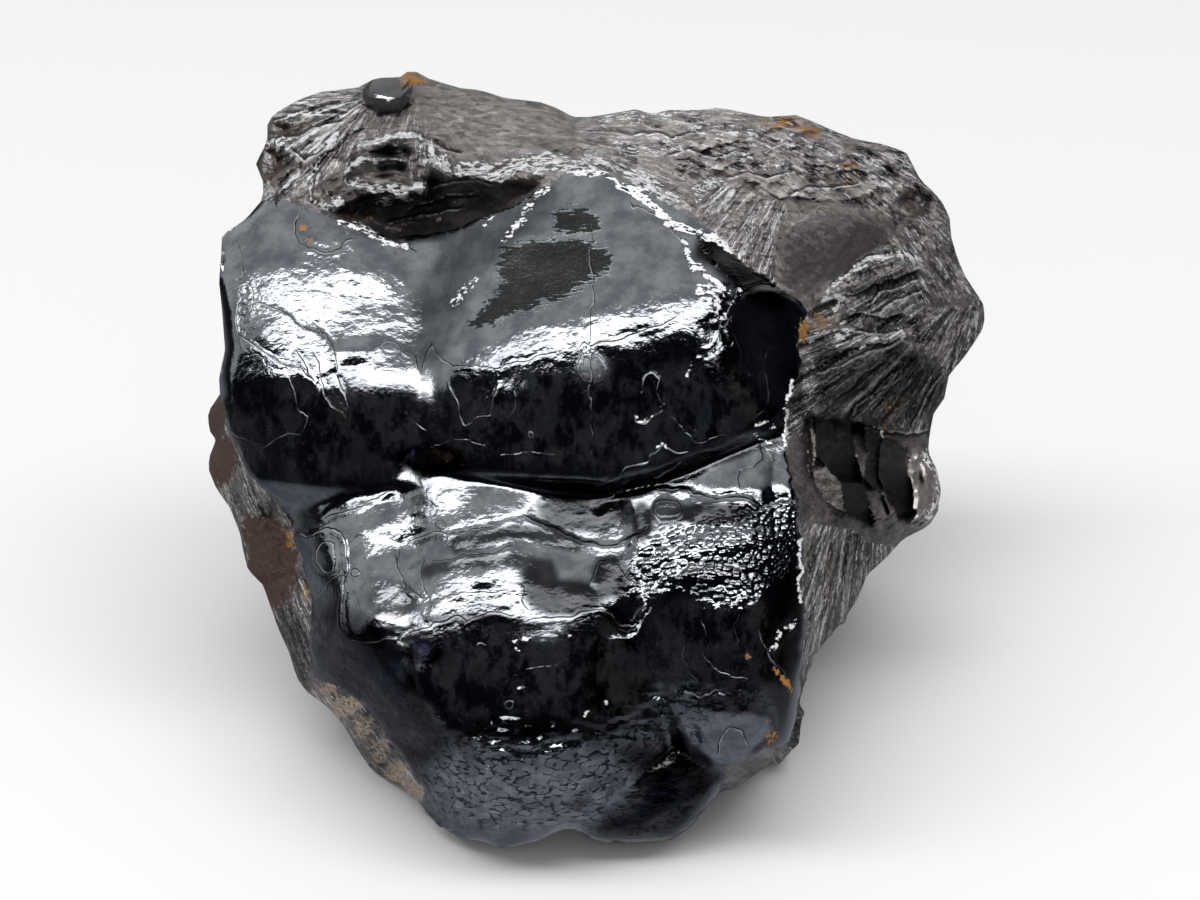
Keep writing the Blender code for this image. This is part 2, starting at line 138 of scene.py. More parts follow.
SKIN_EDGE = [
    (262, 200), (285, 200), (303, 204), (320, 212), (345, 219), (370, 229),
    (400, 237), (430, 235), (465, 224), (500, 210), (530, 196), (548, 184),
    (566, 173), (585, 169), (605, 171), (625, 181), (650, 190), (667, 203),
    (690, 215), (709, 228), (728, 244), (744, 261), (759, 276), (779, 289),
    (796, 300), (806, 310), (804, 322), (797, 345), (800, 362), (799, 382),
    (792, 396), (786, 408), (786, 425), (788, 445), (787, 462), (791, 482),
    (797, 498), (797, 512), (798, 530), (804, 548), (803, 570), (800, 592),
    (804, 612), (803, 640), (802, 668), (800, 700), (796, 720), (788, 743),
    (762, 750), (745, 757), (726, 768), (721, 788), (712, 800), (692, 826),
    (672, 840), (640, 842), (608, 843), (590, 838), (575, 829), (563, 829),
    (545, 839), (525, 844), (502, 849), (485, 842), (462, 838), (440, 827),
    (425, 813), (420, 800), (424, 790), (415, 778), (404, 762), (394, 745),
    (384, 728), (374, 713), (358, 699), (340, 690), (322, 681), (314, 668),
    (308, 645), (310, 620), (312, 600), (308, 583), (302, 562), (296, 545),
    (296, 528), (290, 514), (279, 500), (262, 486), (247, 470), (238, 450),
    (229, 427), (222, 405), (219, 378), (225, 350), (222, 310), (219, 282),
    (221, 258), (222, 235), (246, 219),
]
print(len(OUTLINE), "rim points and", len(SKIN_EDGE), "skin edge points")

# %% [markdown]
# ## Bent sheets
#
# Each swell of the skin is a smooth skin of its own, pushed up from behind like a
# bubble.  A thin bent sheet through a few known depths gives just that: it bends as
# little as it can between its points, so its reflections run without a ripple.

# %% A bent sheet through given depths
SHEET_UNIT = 100.0          # squares; keeps the numbers in the sum near 1
SHEET_EASE = 0.02           # lets a sheet pass a little beside a point
TINY = 1e-12                # keeps a logarithm off zero
FAR = 1e9                   # further than anything on the drawing


def smooth_step(low, high, value):
    t = np.clip((value - low) / (high - low), 0.0, 1.0)
    return t * t * (3.0 - 2.0 * t)


def smooth_max(layers, softness):
    layers = np.array(layers)
    top = layers.max(axis=0)
    return top + softness * np.log(np.exp((layers - top) / softness).sum(axis=0))


def sheet(points, x, y):
    """The thin bent sheet that passes through the given depths."""
    p = np.array(points, dtype=float)
    cx, cy = p[:, 0] / SHEET_UNIT, p[:, 1] / SHEET_UNIT
    gap = (cx[:, None] - cx[None, :]) ** 2 + (cy[:, None] - cy[None, :]) ** 2
    bend = 0.5 * gap * np.log(gap + TINY) + SHEET_EASE * np.eye(len(p))
    flat = np.column_stack([np.ones(len(p)), cx, cy])
    system = np.block([[bend, flat], [flat.T, np.zeros((3, 3))]])
    solved = np.linalg.solve(system, np.append(p[:, 2], [0.0, 0.0, 0.0]))
    x, y = x / SHEET_UNIT, y / SHEET_UNIT
    depth = solved[-3] + solved[-2] * x + solved[-1] * y
    for known_x, known_y, pull in zip(cx, cy, solved[:-3]):
        gap = (x - known_x) ** 2 + (y - known_y) ** 2
        depth = depth + pull * 0.5 * gap * np.log(gap + TINY)
    return depth


slope = [(0, 0, 0.0), (100, 0, 1.0), (0, 100, 0.0), (100, 100, 1.0)]
print("halfway up a slope of 1 mm:", round(float(sheet(slope, 50.0, 20.0)), 3), "mm")

# %% [markdown]
# Nearly everything on the stone is drawn as a line or an outline, so what is needed
# next is the distance from any point to either, with a sign that tells its two sides
# apart.

# %% Distances to lines and outlines
def to_segments(line, x, y, closed=False):
    """Nearest distance to a line, plus on its right hand and minus on its left, and
    how far along it the nearest point is, from 0 to 1."""
    here = np.array([point[:2] for point in line], dtype=float)
    there = np.roll(here, -1, axis=0)
    count = len(here) if closed else len(here) - 1
    near = np.full(x.shape, FAR)
    side = np.ones(x.shape)
    along = np.zeros(x.shape)
    for i in range(count):
        (x0, y0), (dx, dy) = here[i], there[i] - here[i]
        t = np.clip(((x - x0) * dx + (y - y0) * dy) / (dx * dx + dy * dy), 0.0, 1.0)
        gap = np.hypot(x - x0 - t * dx, y - y0 - t * dy)
        closer = gap < near
        near = np.where(closer, gap, near)
        side = np.where(closer, np.sign(dx * (y - y0) - dy * (x - x0)), side)
        along = np.where(closer, (i + t) / count, along)
    return near * np.where(side == 0.0, 1.0, side), along


def inside_by(outline, x, y):
    """Distance to an outline in squares, plus inside it and minus outside."""
    near = np.abs(to_segments(outline, x, y, closed=True)[0])
    here = np.array([point[:2] for point in outline], dtype=float)
    inside = np.zeros(x.shape, dtype=bool)
    for (x0, y0), (x1, y1) in zip(here, np.roll(here, -1, axis=0)):
        if y0 != y1:
            crosses = (y0 > y) != (y1 > y)
            inside ^= crosses & (x < (x1 - x0) * (y - y0) / (y1 - y0) + x0)
    return np.where(inside, near, -near)


def hull(points):
    """Smallest outward-bowed outline round some points."""
    ordered = sorted((float(p[0]), float(p[1])) for p in points)
    sides = []
    for run in (ordered, ordered[::-1]):
        side = []
        for q in run:
            while len(side) > 1:
                (ax, ay), (bx, by) = side[-2], side[-1]
                if (bx - ax) * (q[1] - by) - (by - ay) * (q[0] - bx) > 0.0:
                    break
                side.pop()
            side.append(q)
        sides += side[:-1]
    return sides


middle_gap = inside_by(OUTLINE, np.array([CENTRE[0]]), np.array([CENTRE[1]]))[0]
print("the middle is", round(float(middle_gap)), "squares inside the rim")

# %% [markdown]
# ## The five swells
#
# Two swells side by side make the upper face, a large one and a narrow one hang
# below them, and a small one closes the bottom.  Where two meet there is a tight
# valley, never a soft dip, because each grew until it touched its neighbour.

# %% Depths of the swells
UPPER_LEFT = [
    (225, 235, -8), (262, 203, -8.5), (300, 212, -5.5), (345, 225, -4),
    (400, 240, -4.5), (422, 258, -3.6), (238, 270, -3), (280, 270, -0.8),
    (330, 270, -0.2), (380, 275, -0.2), (420, 290, -0.2), (232, 320, -0.5),
    (275, 320, 2.2), (330, 325, 3.3), (380, 330, 3.6), (422, 340, 3.6),
    (228, 372, 1.5), (270, 375, 4.9), (330, 372, 6.6), (385, 376, 7.3),
    (424, 382, 7.2), (234, 430, 1.6), (290, 430, 6.2), (340, 430, 8.0),
    (390, 435, 8.4), (424, 440, 8.0), (258, 478, 2.2), (320, 485, 6.6),
    (380, 485, 8.0), (424, 485, 8.4),
]
UPPER_RIGHT = [
    (425, 240, -5.5), (460, 228, -2.4), (490, 220, 0.8), (520, 205, 0.4),
    (560, 180, -0.6), (600, 174, 0.0), (640, 186, 1.4), (665, 203, 2.8),
    (700, 223, 3.6), (725, 240, 3.6), (430, 300, -1.0), (520, 280, 7.2),
    (480, 270, 4.0), (570, 250, 6.2), (620, 240, 6.6), (660, 260, 9.0),
    (570, 300, 10.6), (640, 290, 11.4), (690, 270, 9.2), (450, 362, 9.0),
    (500, 347, 11.6), (570, 327, 13.0), (640, 307, 13.1), (700, 292, 12.0),
    (455, 385, 10.4), (505, 370, 12.7), (575, 350, 14.3), (645, 330, 14.3),
    (705, 315, 13.0), (440, 420, 10.0), (480, 420, 12.6), (540, 410, 15.2),
    (600, 405, 16.0), (660, 385, 16.0), (710, 365, 14.6), (430, 465, 9.6),
    (480, 462, 12.8), (540, 470, 15.4), (600, 475, 16.3), (660, 462, 16.6),
    (720, 440, 15.6), (745, 275, 6.6), (755, 300, 8.4), (800, 318, 2.6),
    (750, 345, 11.0), (795, 345, 5.0), (760, 390, 12.6), (792, 396, 9.0),
    (780, 415, 12.0),
]
LOWER_LEFT = [
    (285, 500, -1), (310, 492, 4), (360, 485, 7.2), (430, 476, 9.4),
    (480, 480, 12.0), (540, 492, 13.6), (600, 500, 14.4), (640, 500, 14.8),
    (300, 530, 1), (306, 570, 1.2), (312, 610, 2.2), (320, 500, 4.6),
    (320, 540, 6.0), (320, 580, 7), (320, 620, 8), (318, 660, 5),
    (350, 490, 6.8), (350, 520, 8.6), (350, 560, 11), (350, 600, 13.6),
    (350, 640, 15.2), (350, 685, 10), (400, 490, 8.4), (400, 520, 11.0),
    (400, 560, 14.5), (400, 600, 17.2), (400, 640, 19.4), (400, 700, 20),
    (400, 740, 13), (440, 530, 14.8), (440, 580, 18.4), (440, 620, 21),
    (440, 680, 22.8), (440, 720, 22.6), (440, 760, 18.6), (440, 800, 13),
    (480, 575, 19.6), (480, 615, 21.8), (480, 700, 23.7), (480, 745, 23.4),
    (480, 800, 19.1), (480, 835, 13.5), (540, 530, 17), (540, 580, 20.6),
    (540, 620, 23), (540, 680, 25), (540, 720, 25.4), (540, 760, 24.4),
    (540, 800, 20.6), (540, 830, 15.6), (600, 540, 18), (600, 580, 20.6),
    (600, 620, 22.4), (600, 680, 23.8), (600, 720, 23.6), (600, 760, 21.8),
    (600, 795, 18), (640, 540, 17.8), (640, 580, 19.4), (640, 620, 20.2),
    (640, 680, 20.8), (640, 720, 20.4), (650, 750, 18),
]
LOWER_RIGHT = [
    (640, 498, 15.4), (680, 482, 15.0), (720, 465, 14.8), (760, 445, 13),
    (786, 425, 11), (640, 540, 18.6), (680, 520, 18.4), (720, 510, 18.6),
    (760, 500, 17.0), (792, 490, 13.5), (640, 580, 20.6), (690, 570, 21.8),
    (740, 560, 21.4), (775, 550, 19.4), (797, 545, 16.0), (650, 630, 21.2),
    (700, 630, 23.4), (750, 620, 23.4), (785, 615, 20.6), (800, 612, 17),
    (660, 680, 20.2), (700, 680, 22.8), (750, 680, 23.2), (785, 675, 20.4),
    (800, 670, 16.6), (680, 720, 19.4), (715, 725, 21.2), (755, 720, 21.2),
    (786, 715, 17.6), (690, 752, 15.6), (730, 755, 17.6), (760, 748, 17.2),
    (785, 742, 13.6),
]
LOWEST = [
    (575, 825, 13), (600, 800, 15.4), (640, 780, 16.4), (680, 765, 15.4),
    (715, 775, 12.6), (620, 825, 14.2), (660, 815, 14.8), (690, 800, 13.6),
    (640, 838, 12.4), (675, 832, 12),
]
SWELLS = [UPPER_LEFT, UPPER_RIGHT, LOWER_LEFT, LOWER_RIGHT, LOWEST]
SIDE_VALLEY = 1.1           # mm, how softly two swells side by side meet
CROSS_VALLEY = 0.35         # mm, the tight valley between the upper and lower ones
DIVE, DIVE_MORE = 0.03, 0.004       # how fast a swell dives beyond its last points


def swells_depth(x, y):
    """Depth of the whole skin: the nearest to the eye of the five swells."""
    layers = []
    for swell in SWELLS:
        beyond = np.clip(-inside_by(hull(swell), x, y), 0.0, None)
        layers.append(sheet(swell, x, y) - DIVE * beyond - DIVE_MORE * beyond ** 2)
    upper = smooth_max(layers[:2], SIDE_VALLEY)
    lower = smooth_max(layers[2:4], SIDE_VALLEY)
    return smooth_max([upper, lower, layers[4]], CROSS_VALLEY)


print(len(SWELLS), "swells from", sum(len(s) for s in SWELLS), "depths")

# %% [markdown]
# ## The break
#
# Behind and beside the skin the stone is broken.  The same kind of sheet carries
# the large shape: a dome with an overhanging lip at the upper left, a rough shelf
# along the top, and a face turned away to the right.

# %% Depths of the break
BREAK = [
    # dome at the upper left, with the lip over the hollow
    (290, 180, -10.5), (300, 150, -13), (330, 125, -15.5), (365, 110, -17),
    (400, 112, -17), (345, 152, -11), (372, 140, -11), (400, 134, -11.5),
    (425, 138, -11), (437, 160, -8), (470, 172, -6), (500, 176, -5),
    (530, 172, -4), (450, 120, -16), (480, 140, -11.5), (510, 150, -9),
    (550, 150, -9.5), (562, 128, -18), (578, 148, -10),
    # floor of the hollow, before it is carved
    (360, 190, -9), (400, 200, -9), (440, 200, -8), (480, 195, -7),
    # rough top at the right
    (620, 145, -13), (640, 165, -7), (700, 150, -15), (700, 190, -5.5),
    (760, 150, -17), (760, 200, -8.5), (840, 170, -22), (900, 185, -27),
    (820, 205, -13.5), (775, 240, -2.5), (870, 215, -16.5), (790, 270, -1),
    (880, 255, -15), (850, 270, -9.5), (825, 290, -4),
    # right face, turned away from the skin
    (850, 305, -7), (900, 300, -17), (950, 300, -26), (930, 255, -25),
    (830, 350, -1), (870, 350, -8.5), (920, 350, -18), (960, 340, -26),
    (830, 400, 1), (870, 400, -6.5), (910, 400, -15), (815, 440, 6),
    (835, 460, 1.5), (855, 490, -1), (868, 480, -4), (880, 450, -8.5),
    (905, 450, -14), (900, 505, -11), (922, 485, -13.5), (845, 515, 0.5),
    (875, 525, -5.5), (830, 560, 5), (860, 555, -3), (880, 545, -8),
    (830, 605, 4), (848, 600, -1), (815, 640, 8),
    # small break at the lower right
    (755, 762, 9.5), (742, 775, 6),
    # brown back edge down the left side, and the crusted lower left
    (225, 450, -8), (240, 500, -6), (262, 540, -5.5), (285, 570, -3),
    (283, 620, -4.5), (302, 660, -3.5), (320, 700, -1), (350, 722, 2.5),
    (380, 758, -1.5), (402, 775, 4),
]
UNDER_SKIN = 0.4            # mm the break lies below the skin where they meet
CLEAR_OF_SKIN = 6.0         # squares from the skin at which the rim is a depth too
RIM_LIFT = 1.5              # mm the break stands above the rim it rolls over to


def break_sheet(x, y):
    """Depth of the break: it meets the skin's edge, the rim and its own depths."""
    edge = np.array(SKIN_EDGE, dtype=float)
    under_skin = swells_depth(edge[:, 0], edge[:, 1]) - UNDER_SKIN
    anchors = [(ex, ey, w) for (ex, ey), w in zip(SKIN_EDGE, under_skin)]
    skin_reach = inside_by(SKIN_EDGE, *np.array(OUTLINE, dtype=float).T[:2])
    for (ox, oy, w), reach in zip(OUTLINE, skin_reach):
        if reach < -CLEAR_OF_SKIN:
            anchors.append((ox, oy, w + RIM_LIFT))
    return sheet(anchors + BREAK, x, y)


print(len(BREAK), "depths for the break")

# %% [markdown]
# ## The blank
#
# The mesh starts as an icosphere, whose triangles are all nearly the same size.
# Its pole looks at the eye and its equator becomes the rim, so the outline is
# exact.  The side with the detail is divided once more; the hidden back isn't.

# %% A ball of even triangles
BALL_DIVISIONS = 7
DETAIL_FROM = 0.13          # height on the ball above which triangles are halved
ball = bmesh.new()
bmesh.ops.create_icosphere(ball, subdivisions=BALL_DIVISIONS, radius=1.0)
seen = [e for e in ball.edges if min(v.co.z for v in e.verts) > DETAIL_FROM]
bmesh.ops.subdivide_edges(ball, edges=seen, cuts=1, use_grid_fill=True)
bmesh.ops.triangulate(ball, faces=ball.faces)
on_ball = np.array([v.co[:] for v in ball.verts])
on_ball /= np.linalg.norm(on_ball, axis=1)[:, None]
print(len(ball.faces), "triangles,", len(on_ball), "points")

# %% [markdown]
# A point's direction on the ball says where it lies on the drawing.  In front, the
# distance from the hub grows so that every triangle keeps its share of the face.
# Behind, points stay near the rim on a tall side wall, and spread where the wall
# is low.

# %% Where each point lies on the drawing
HUB = (595.0, 455.0)        # the outline is seen once in every direction from here
BACK_REACH = 41.0           # mm from the drawing's centre to the upright back
BACK_FLATS = [              # which way each faces, then mm from the centre
    ((0.00, 1.00, 0.02), BACK_REACH),
    ((-0.55, 0.83, 0.10), 46.0),
    ((0.50, 0.85, -0.12), 56.0),
    ((0.08, 0.94, -0.33), 43.5),
    ((-0.66, 0.50, -0.56), 47.0),
    ((0.74, 0.40, -0.54), 50.0),
    ((0.00, 0.00, -1.00), REST_HEIGHT + 6.0),
]
BACK_BULGE = 84.0           # mm the back would reach if no flat were broken off it
BACK_SQUARENESS = 3.0       # 2 rounds the back like a ball, more makes it blockier
TALL_WALL = 35.0            # mm of side wall from which the points crowd to the rim
ON_RIM = 0.001              # height on the ball that still counts as the rim
SLACK = 1e-9                # lets a ray meet a corner, and keeps a divisor off zero


def rim(angle):
    """Where a ray from the hub crosses the outline: its length and rim depth."""
    cos, sin = np.cos(angle), np.sin(angle)
    reach = np.zeros(angle.shape)
    depth = np.zeros(angle.shape)
    for i, (x0, y0, w0) in enumerate(OUTLINE):
        x1, y1, w1 = OUTLINE[(i + 1) % len(OUTLINE)]
        ax, ay, dx, dy = x0 - HUB[0], y0 - HUB[1], x1 - x0, y1 - y0
        across = cos * dy - sin * dx
        across = np.where(np.abs(across) < SLACK, SLACK, across)
        length = (ax * dy - ay * dx) / across
        along = (ax * sin - ay * cos) / across
        hit = (along >= -SLACK) & (along <= 1.0 + SLACK) & (length > reach)
        reach = np.where(hit, length, reach)
        depth = np.where(hit, w0 + (w1 - w0) * np.clip(along, 0.0, 1.0), depth)
    return reach, depth


def flats_depth(x, y):
    """Depth at which the line of sight leaves the stone through its back flats."""
    u, v = (x - CENTRE[0]) / SQUARES_PER_MM, (CENTRE[1] - y) / SQUARES_PER_MM
    depths = []
    for (nx, ny, nz), reach in BACK_FLATS:
        facing = -ny * COS + nz * SIN
        depths.append((reach - nx * u - (ny * SIN + nz * COS) * v) / facing)
    return np.max(depths, axis=0)


toward = np.where(np.abs(on_ball[:, 2]) < ON_RIM, 0.0, on_ball[:, 2])
turn = np.arctan2(-on_ball[:, 1], on_ball[:, 0])
rim_reach, rim_w = rim(turn)
rim_x = HUB[0] + rim_reach * np.cos(turn)
rim_y = HUB[1] + rim_reach * np.sin(turn)
front = toward >= 0.0
tall = smooth_step(0.0, TALL_WALL, rim_w - flats_depth(rim_x, rim_y))
even = np.sqrt(1.0 - np.abs(toward))
boxy = (1.0 - toward ** 2) ** (1.0 / BACK_SQUARENESS)
out = np.where(front, even, tall * boxy + (1.0 - tall) * even)
px = HUB[0] + out * (rim_x - HUB[0])
py = HUB[1] + out * (rim_y - HUB[1])
rim_gap = inside_by(OUTLINE, px, py)
print("points in front:", int(front.sum()))

# %% [markdown]
# ## Random relief
#
# Nature is irregular but never white noise.  Two simple tools give nearly all of it:
# a smooth random value on a lattice, for ripples and grooves, and small tilted
# plates round random seats, for the chips that a hammer leaves.  Both read fixed
# tables, so the stone is the same on every run.

# %% Smooth grain and chipped plates
TABLE = 32                  # lattice cells before a random table repeats


def grain(points, seed):
    """Smooth random values from -1 to 1, one lattice cell to a unit."""
    table = np.random.default_rng(seed).uniform(-1.0, 1.0, (TABLE,) * 3)
    low = np.floor(points).astype(int)
    t = points - low
    t = t * t * (3.0 - 2.0 * t)
    total = np.zeros(len(points))
    for corner in itertools.product((0, 1), repeat=3):
        i, j, k = ((low + corner) % TABLE).T
        total += np.prod(np.where(corner, t, 1.0 - t), axis=1) * table[i, j, k]
    return total


def plates(points, seed):
    """Height over small plates tilted at random, one seat to a lattice cell."""
    rng = np.random.default_rng(seed)
    seats = rng.uniform(0.0, 1.0, (TABLE, TABLE, TABLE, 3))
    tilts = rng.uniform(-1.0, 1.0, (TABLE, TABLE, TABLE, 3))
    low = np.floor(points).astype(int)
    best = np.full(len(points), FAR)
    height = np.zeros(len(points))
    for step in itertools.product((-1, 0, 1), repeat=3):
        cell = low + step
        i, j, k = (cell % TABLE).T
        away = points - cell - seats[i, j, k]
        gap = (away ** 2).sum(axis=1)
        closer = gap < best
        best = np.where(closer, gap, best)
        height = np.where(closer, (away * tilts[i, j, k]).sum(axis=1), height)
    return height


print("grain spread:", round(float(grain(on_ball * 20.0, 1).std()), 3))

# %% [markdown]
# A line that runs too evenly looks drawn.  So every line and outline is read at
# places that are pushed about by a square or two.  A patch fills an outline, and a
# ledge is a step along a line; most of the relief is made with these two.

# %% Wandering places, patches and ledges
def drawn(across, down, layer=0.0):
    """Drawing places as lattice places, with a cell this many squares wide and high."""
    return np.column_stack([px / across, py / down, np.full(len(px), layer)])


WIDE_WANDER, FINE_WANDER = 2.6, 1.3         # squares


def wandering(start, seed):
    """The same places pushed about a little, so that a drawn line runs unevenly."""
    return (start + WIDE_WANDER * grain(drawn(15, 15, seed), seed)
            + FINE_WANDER * grain(drawn(5.5, 5.5, seed), seed + 1))


wander_x, wander_y = wandering(px, 5), wandering(py, 7)


def patch(outline, soft):
    """1 inside a drawn outline and 0 outside it, with an edge this many squares soft."""
    return smooth_step(-soft, soft, inside_by(outline, wander_x, wander_y))


def ledge(line, rise, wide, fade, easing, closed=False):
    """A step up to the right hand of a line, fading away on both sides and at the
    ends.  It comes with the distance from the line and with the fading at the ends."""
    gap, along = to_segments(line, wander_x, wander_y, closed)
    ends = 1.0 if closed else smooth_step(0.0, easing, np.minimum(along, 1.0 - along))
    height = 0.5 * rise * ends * np.tanh(gap / wide) * np.exp(-np.abs(gap) / fade)
    return height, gap, ends


def nearest_line(side, step, gap, value):
    """Keeps, for each point, the line that is nearest to it."""
    closer = np.abs(gap) < np.abs(side)
    return np.where(closer, gap, side), np.where(closer, value, step)


print("lines wander by up to", round(float(np.abs(wander_x - px).max()), 1), "squares")

# %% [markdown]
# ## The skin
#
# Seen close, the mirror isn't perfect.  It has low swellings, fine ripples that
# break a highlight into streaks, a pebbled belt, and thin layers that have flaked
# along curving cracks.  These are real steps of a tenth or two of a millimetre, so
# they are made in the mesh; only what is finer than a triangle is left to bump.

# %% Low swellings: x, y, half width, half height, turn in degrees, height in mm
SWELLINGS = [
    (428, 482, 54, 40, -8, 1.25), (412, 550, 46, 40, -6, -1.20),
    (474, 582, 50, 16, -6, 0.10), (803, 500, 34, 76, 0, 1.7),
    (575, 540, 80, 66, 0, -1.60), (326, 556, 14, 20, 0, 0.45), (668, 510, 24, 20, 0, 0.40),
    (372, 530, 40, 30, -20, 0.2), (560, 590, 40, 16, 8, 0.12),
    (720, 545, 60, 18, -12, 0.45), (700, 575, 45, 14, -5, 0.4),
    (358, 352, 44, 16, -6, 0.45), (352, 268, 52, 24, -10, 0.15),
    (272, 332, 30, 30, 0, 0.30), (655, 390, 20, 22, 20, 0.12),
    (650, 413, 16, 8, -15, 0.12), (770, 432, 14, 8, 10, 0.15),
    (640, 600, 26, 22, 0, 0.6), (470, 735, 60, 40, 0, 0.35),
    (560, 770, 60, 30, 0, 0.3), (712, 300, 20, 30, 20, 0.5),
]


def swelling(cx, cy, rx, ry, turned, high):
    """A low round rise, or a dip where it is minus."""
    c, s = math.cos(math.radians(turned)), math.sin(math.radians(turned))
    u = ((px - cx) * c + (py - cy) * s) / rx
    v = ((py - cy) * c - (px - cx) * s) / ry
    return high * np.clip(1.0 - u * u - v * v, 0.0, 1.0) ** 2


skin_reach = np.where(front, inside_by(SKIN_EDGE, wander_x, wander_y), -40.0)
skin_relief = sum(swelling(*one) for one in SWELLINGS)
skin_relief += 0.10 * grain(drawn(46, 34), 11) + 0.035 * grain(drawn(19, 14), 12)
print("swellings rise to", round(float(skin_relief.max()), 2), "mm")

# %% [markdown]
# Where a highlight ends is a matter of slope: two hundredths of a millimetre a square
# is enough to turn a patch of mirror from white to grey.  So some stretches are
# tilted as a whole, and a bank, a low step that fades away on both sides, marks where
# one thin layer of the skin laps over the next.

# %% Tilted grounds and banks
TILTS = [                   # soft edge, slope across and down in mm a square, outline
    (4, -0.05, 0.02, [(697, 232), (735, 243), (783, 288), (745, 287), (712, 262)]),
    (14, 0.00, 0.020, [(600, 503), (660, 472), (720, 440), (780, 415), (790, 440),
                       (792, 488), (740, 498), (690, 488), (640, 500)]),
]
BANKS = [                   # rise to the right hand in mm, width, fade, then the line
    (-1.0, 5.0, 12.0, [(606, 178), (632, 192), (652, 205), (668, 219), (688, 229),
                       (705, 234), (722, 243), (737, 254)]),
    (0.30, 3.0, 12.0, [(610, 191), (630, 205), (655, 220), (668, 220), (680, 238),
                       (690, 246)]),
    (-0.50, 2.5, 7.0, [(683, 242), (690, 262), (705, 276), (722, 286)]),
    (-0.55, 3.5, 8.0, [(694, 288), (712, 289), (730, 287)]),
    (-0.55, 3.5, 8.0, [(698, 299), (715, 302), (728, 299)]),
    (-0.45, 3.0, 7.0, [(706, 312), (716, 316), (724, 312)]),
    (-0.45, 3.0, 7.0, [(708, 326), (716, 328), (726, 325)]),
    (-0.35, 3.0, 9.0, [(303, 530), (328, 508), (360, 493), (392, 488), (424, 488)]),
    (-0.30, 3.0, 9.0, [(318, 532), (340, 512), (370, 501), (400, 498)]),
    (0.45, 8.0, 14.0, [(452, 534), (480, 534), (520, 537), (570, 536)]),
    (0.30, 3.5, 10.0, [(400, 575), (425, 560), (470, 552), (520, 548), (560, 556)]),
    (0.20, 4.0, 18.0, [(238, 300), (236, 320), (240, 335), (262, 350), (280, 363),
                       (300, 368), (318, 382)]),
    (0.25, 4.0, 18.0, [(300, 326), (325, 335), (338, 350), (345, 375)]),
    (0.25, 5.0, 16.0, [(606, 636), (620, 636), (633, 631), (645, 616), (651, 600)]),
    (0.32, 5.0, 18.0, [(300, 535), (315, 530), (330, 528), (342, 535), (348, 550),
                       (347, 570), (342, 610), (346, 635)]),
    (0.40, 5.0, 18.0, [(520, 512), (548, 526), (585, 541), (620, 543), (648, 528)]),
    (0.50, 4.0, 16.0, [(655, 492), (680, 487), (697, 496), (715, 501), (750, 500),
                       (765, 508), (797, 499)]),
]
for soft, across, down, outline in TILTS:
    cx, cy = np.mean(outline, axis=0)
    skin_relief += patch(outline, soft) * (across * (px - cx) + down * (py - cy))
for rise, wide, fade, line in BANKS:
    skin_relief += ledge(line, rise, wide, fade, 0.12)[0]
print(len(TILTS), "tilted grounds and", len(BANKS), "banks")

# %% [markdown]
# The skin isn't the same all over.  Some stretches are rippled, so that a highlight
# breaks into streaks; one is a belt of pebbles; the lowest is pitted and crazed into
# small scales; and along the top of that, short ripples catch the light as flecks.
# Each is an outline with a soft edge, filled with grain of its own size.

# %% Rippled, pebbled, pitted and flecked ground
STREAKED = [
    [(232, 262), (300, 262), (345, 240), (400, 262), (424, 300), (424, 372),
     (345, 372), (300, 380), (232, 385)],
    [(388, 512), (420, 498), (470, 498), (500, 520), (470, 548), (400, 548)],
    [(425, 590), (460, 572), (520, 578), (530, 600), (490, 618), (430, 616)],
    [(460, 350), (600, 305), (700, 290), (735, 250), (735, 335), (600, 350), (480, 380)],
]
PEBBLED = [(632, 602), (634, 566), (650, 540), (684, 526), (730, 510), (796, 498),
           (797, 530), (795, 572), (762, 596), (740, 606), (700, 602), (684, 588),
           (664, 590)]
PITTED = [                  # strength, outline
    (1.0, [(405, 738), (440, 724), (490, 730), (560, 738), (620, 728), (655, 705),
           (668, 690), (668, 740), (640, 770), (610, 800), (600, 838), (560, 830),
           (430, 822), (410, 790)]),
    (0.12, [(672, 702), (700, 700), (740, 695), (782, 700), (790, 730), (760, 752),
            (725, 765), (700, 765), (682, 740)]),
    (0.9, [(676, 702), (690, 692), (745, 688), (782, 700), (762, 711), (720, 711),
           (704, 722), (700, 740), (688, 728)]),
    (0.8, [(590, 846), (606, 804), (640, 770), (668, 745), (700, 768), (726, 790),
           (704, 824), (670, 842)]),
    (0.7, [(300, 600), (350, 640), (400, 690), (440, 725), (405, 740), (415, 795),
           (378, 765), (345, 712), (312, 655)]),
]
FLECKED = [(398, 730), (440, 716), (500, 716), (560, 722), (610, 716), (655, 690),
           (690, 690), (760, 690), (765, 706), (700, 712), (650, 738), (560, 756),
           (450, 754)]
RUMPLED = [(312, 505), (400, 490), (480, 490), (560, 500), (640, 505), (650, 560),
           (640, 610), (520, 612), (430, 622), (350, 620), (312, 590)]
SOFT, CRISP = 12.0, 8.0     # squares, the soft edge of a stretch
rumpled = patch(RUMPLED, SOFT)
streaked = np.max([patch(one, SOFT) for one in STREAKED], axis=0)
pebbled = patch(PEBBLED, CRISP)
pitted = np.max([strong * patch(one, SOFT) for strong, one in PITTED], axis=0)
flecked = patch(FLECKED, CRISP)
lumps = 0.5 + 0.5 * grain(drawn(30, 20), 22)
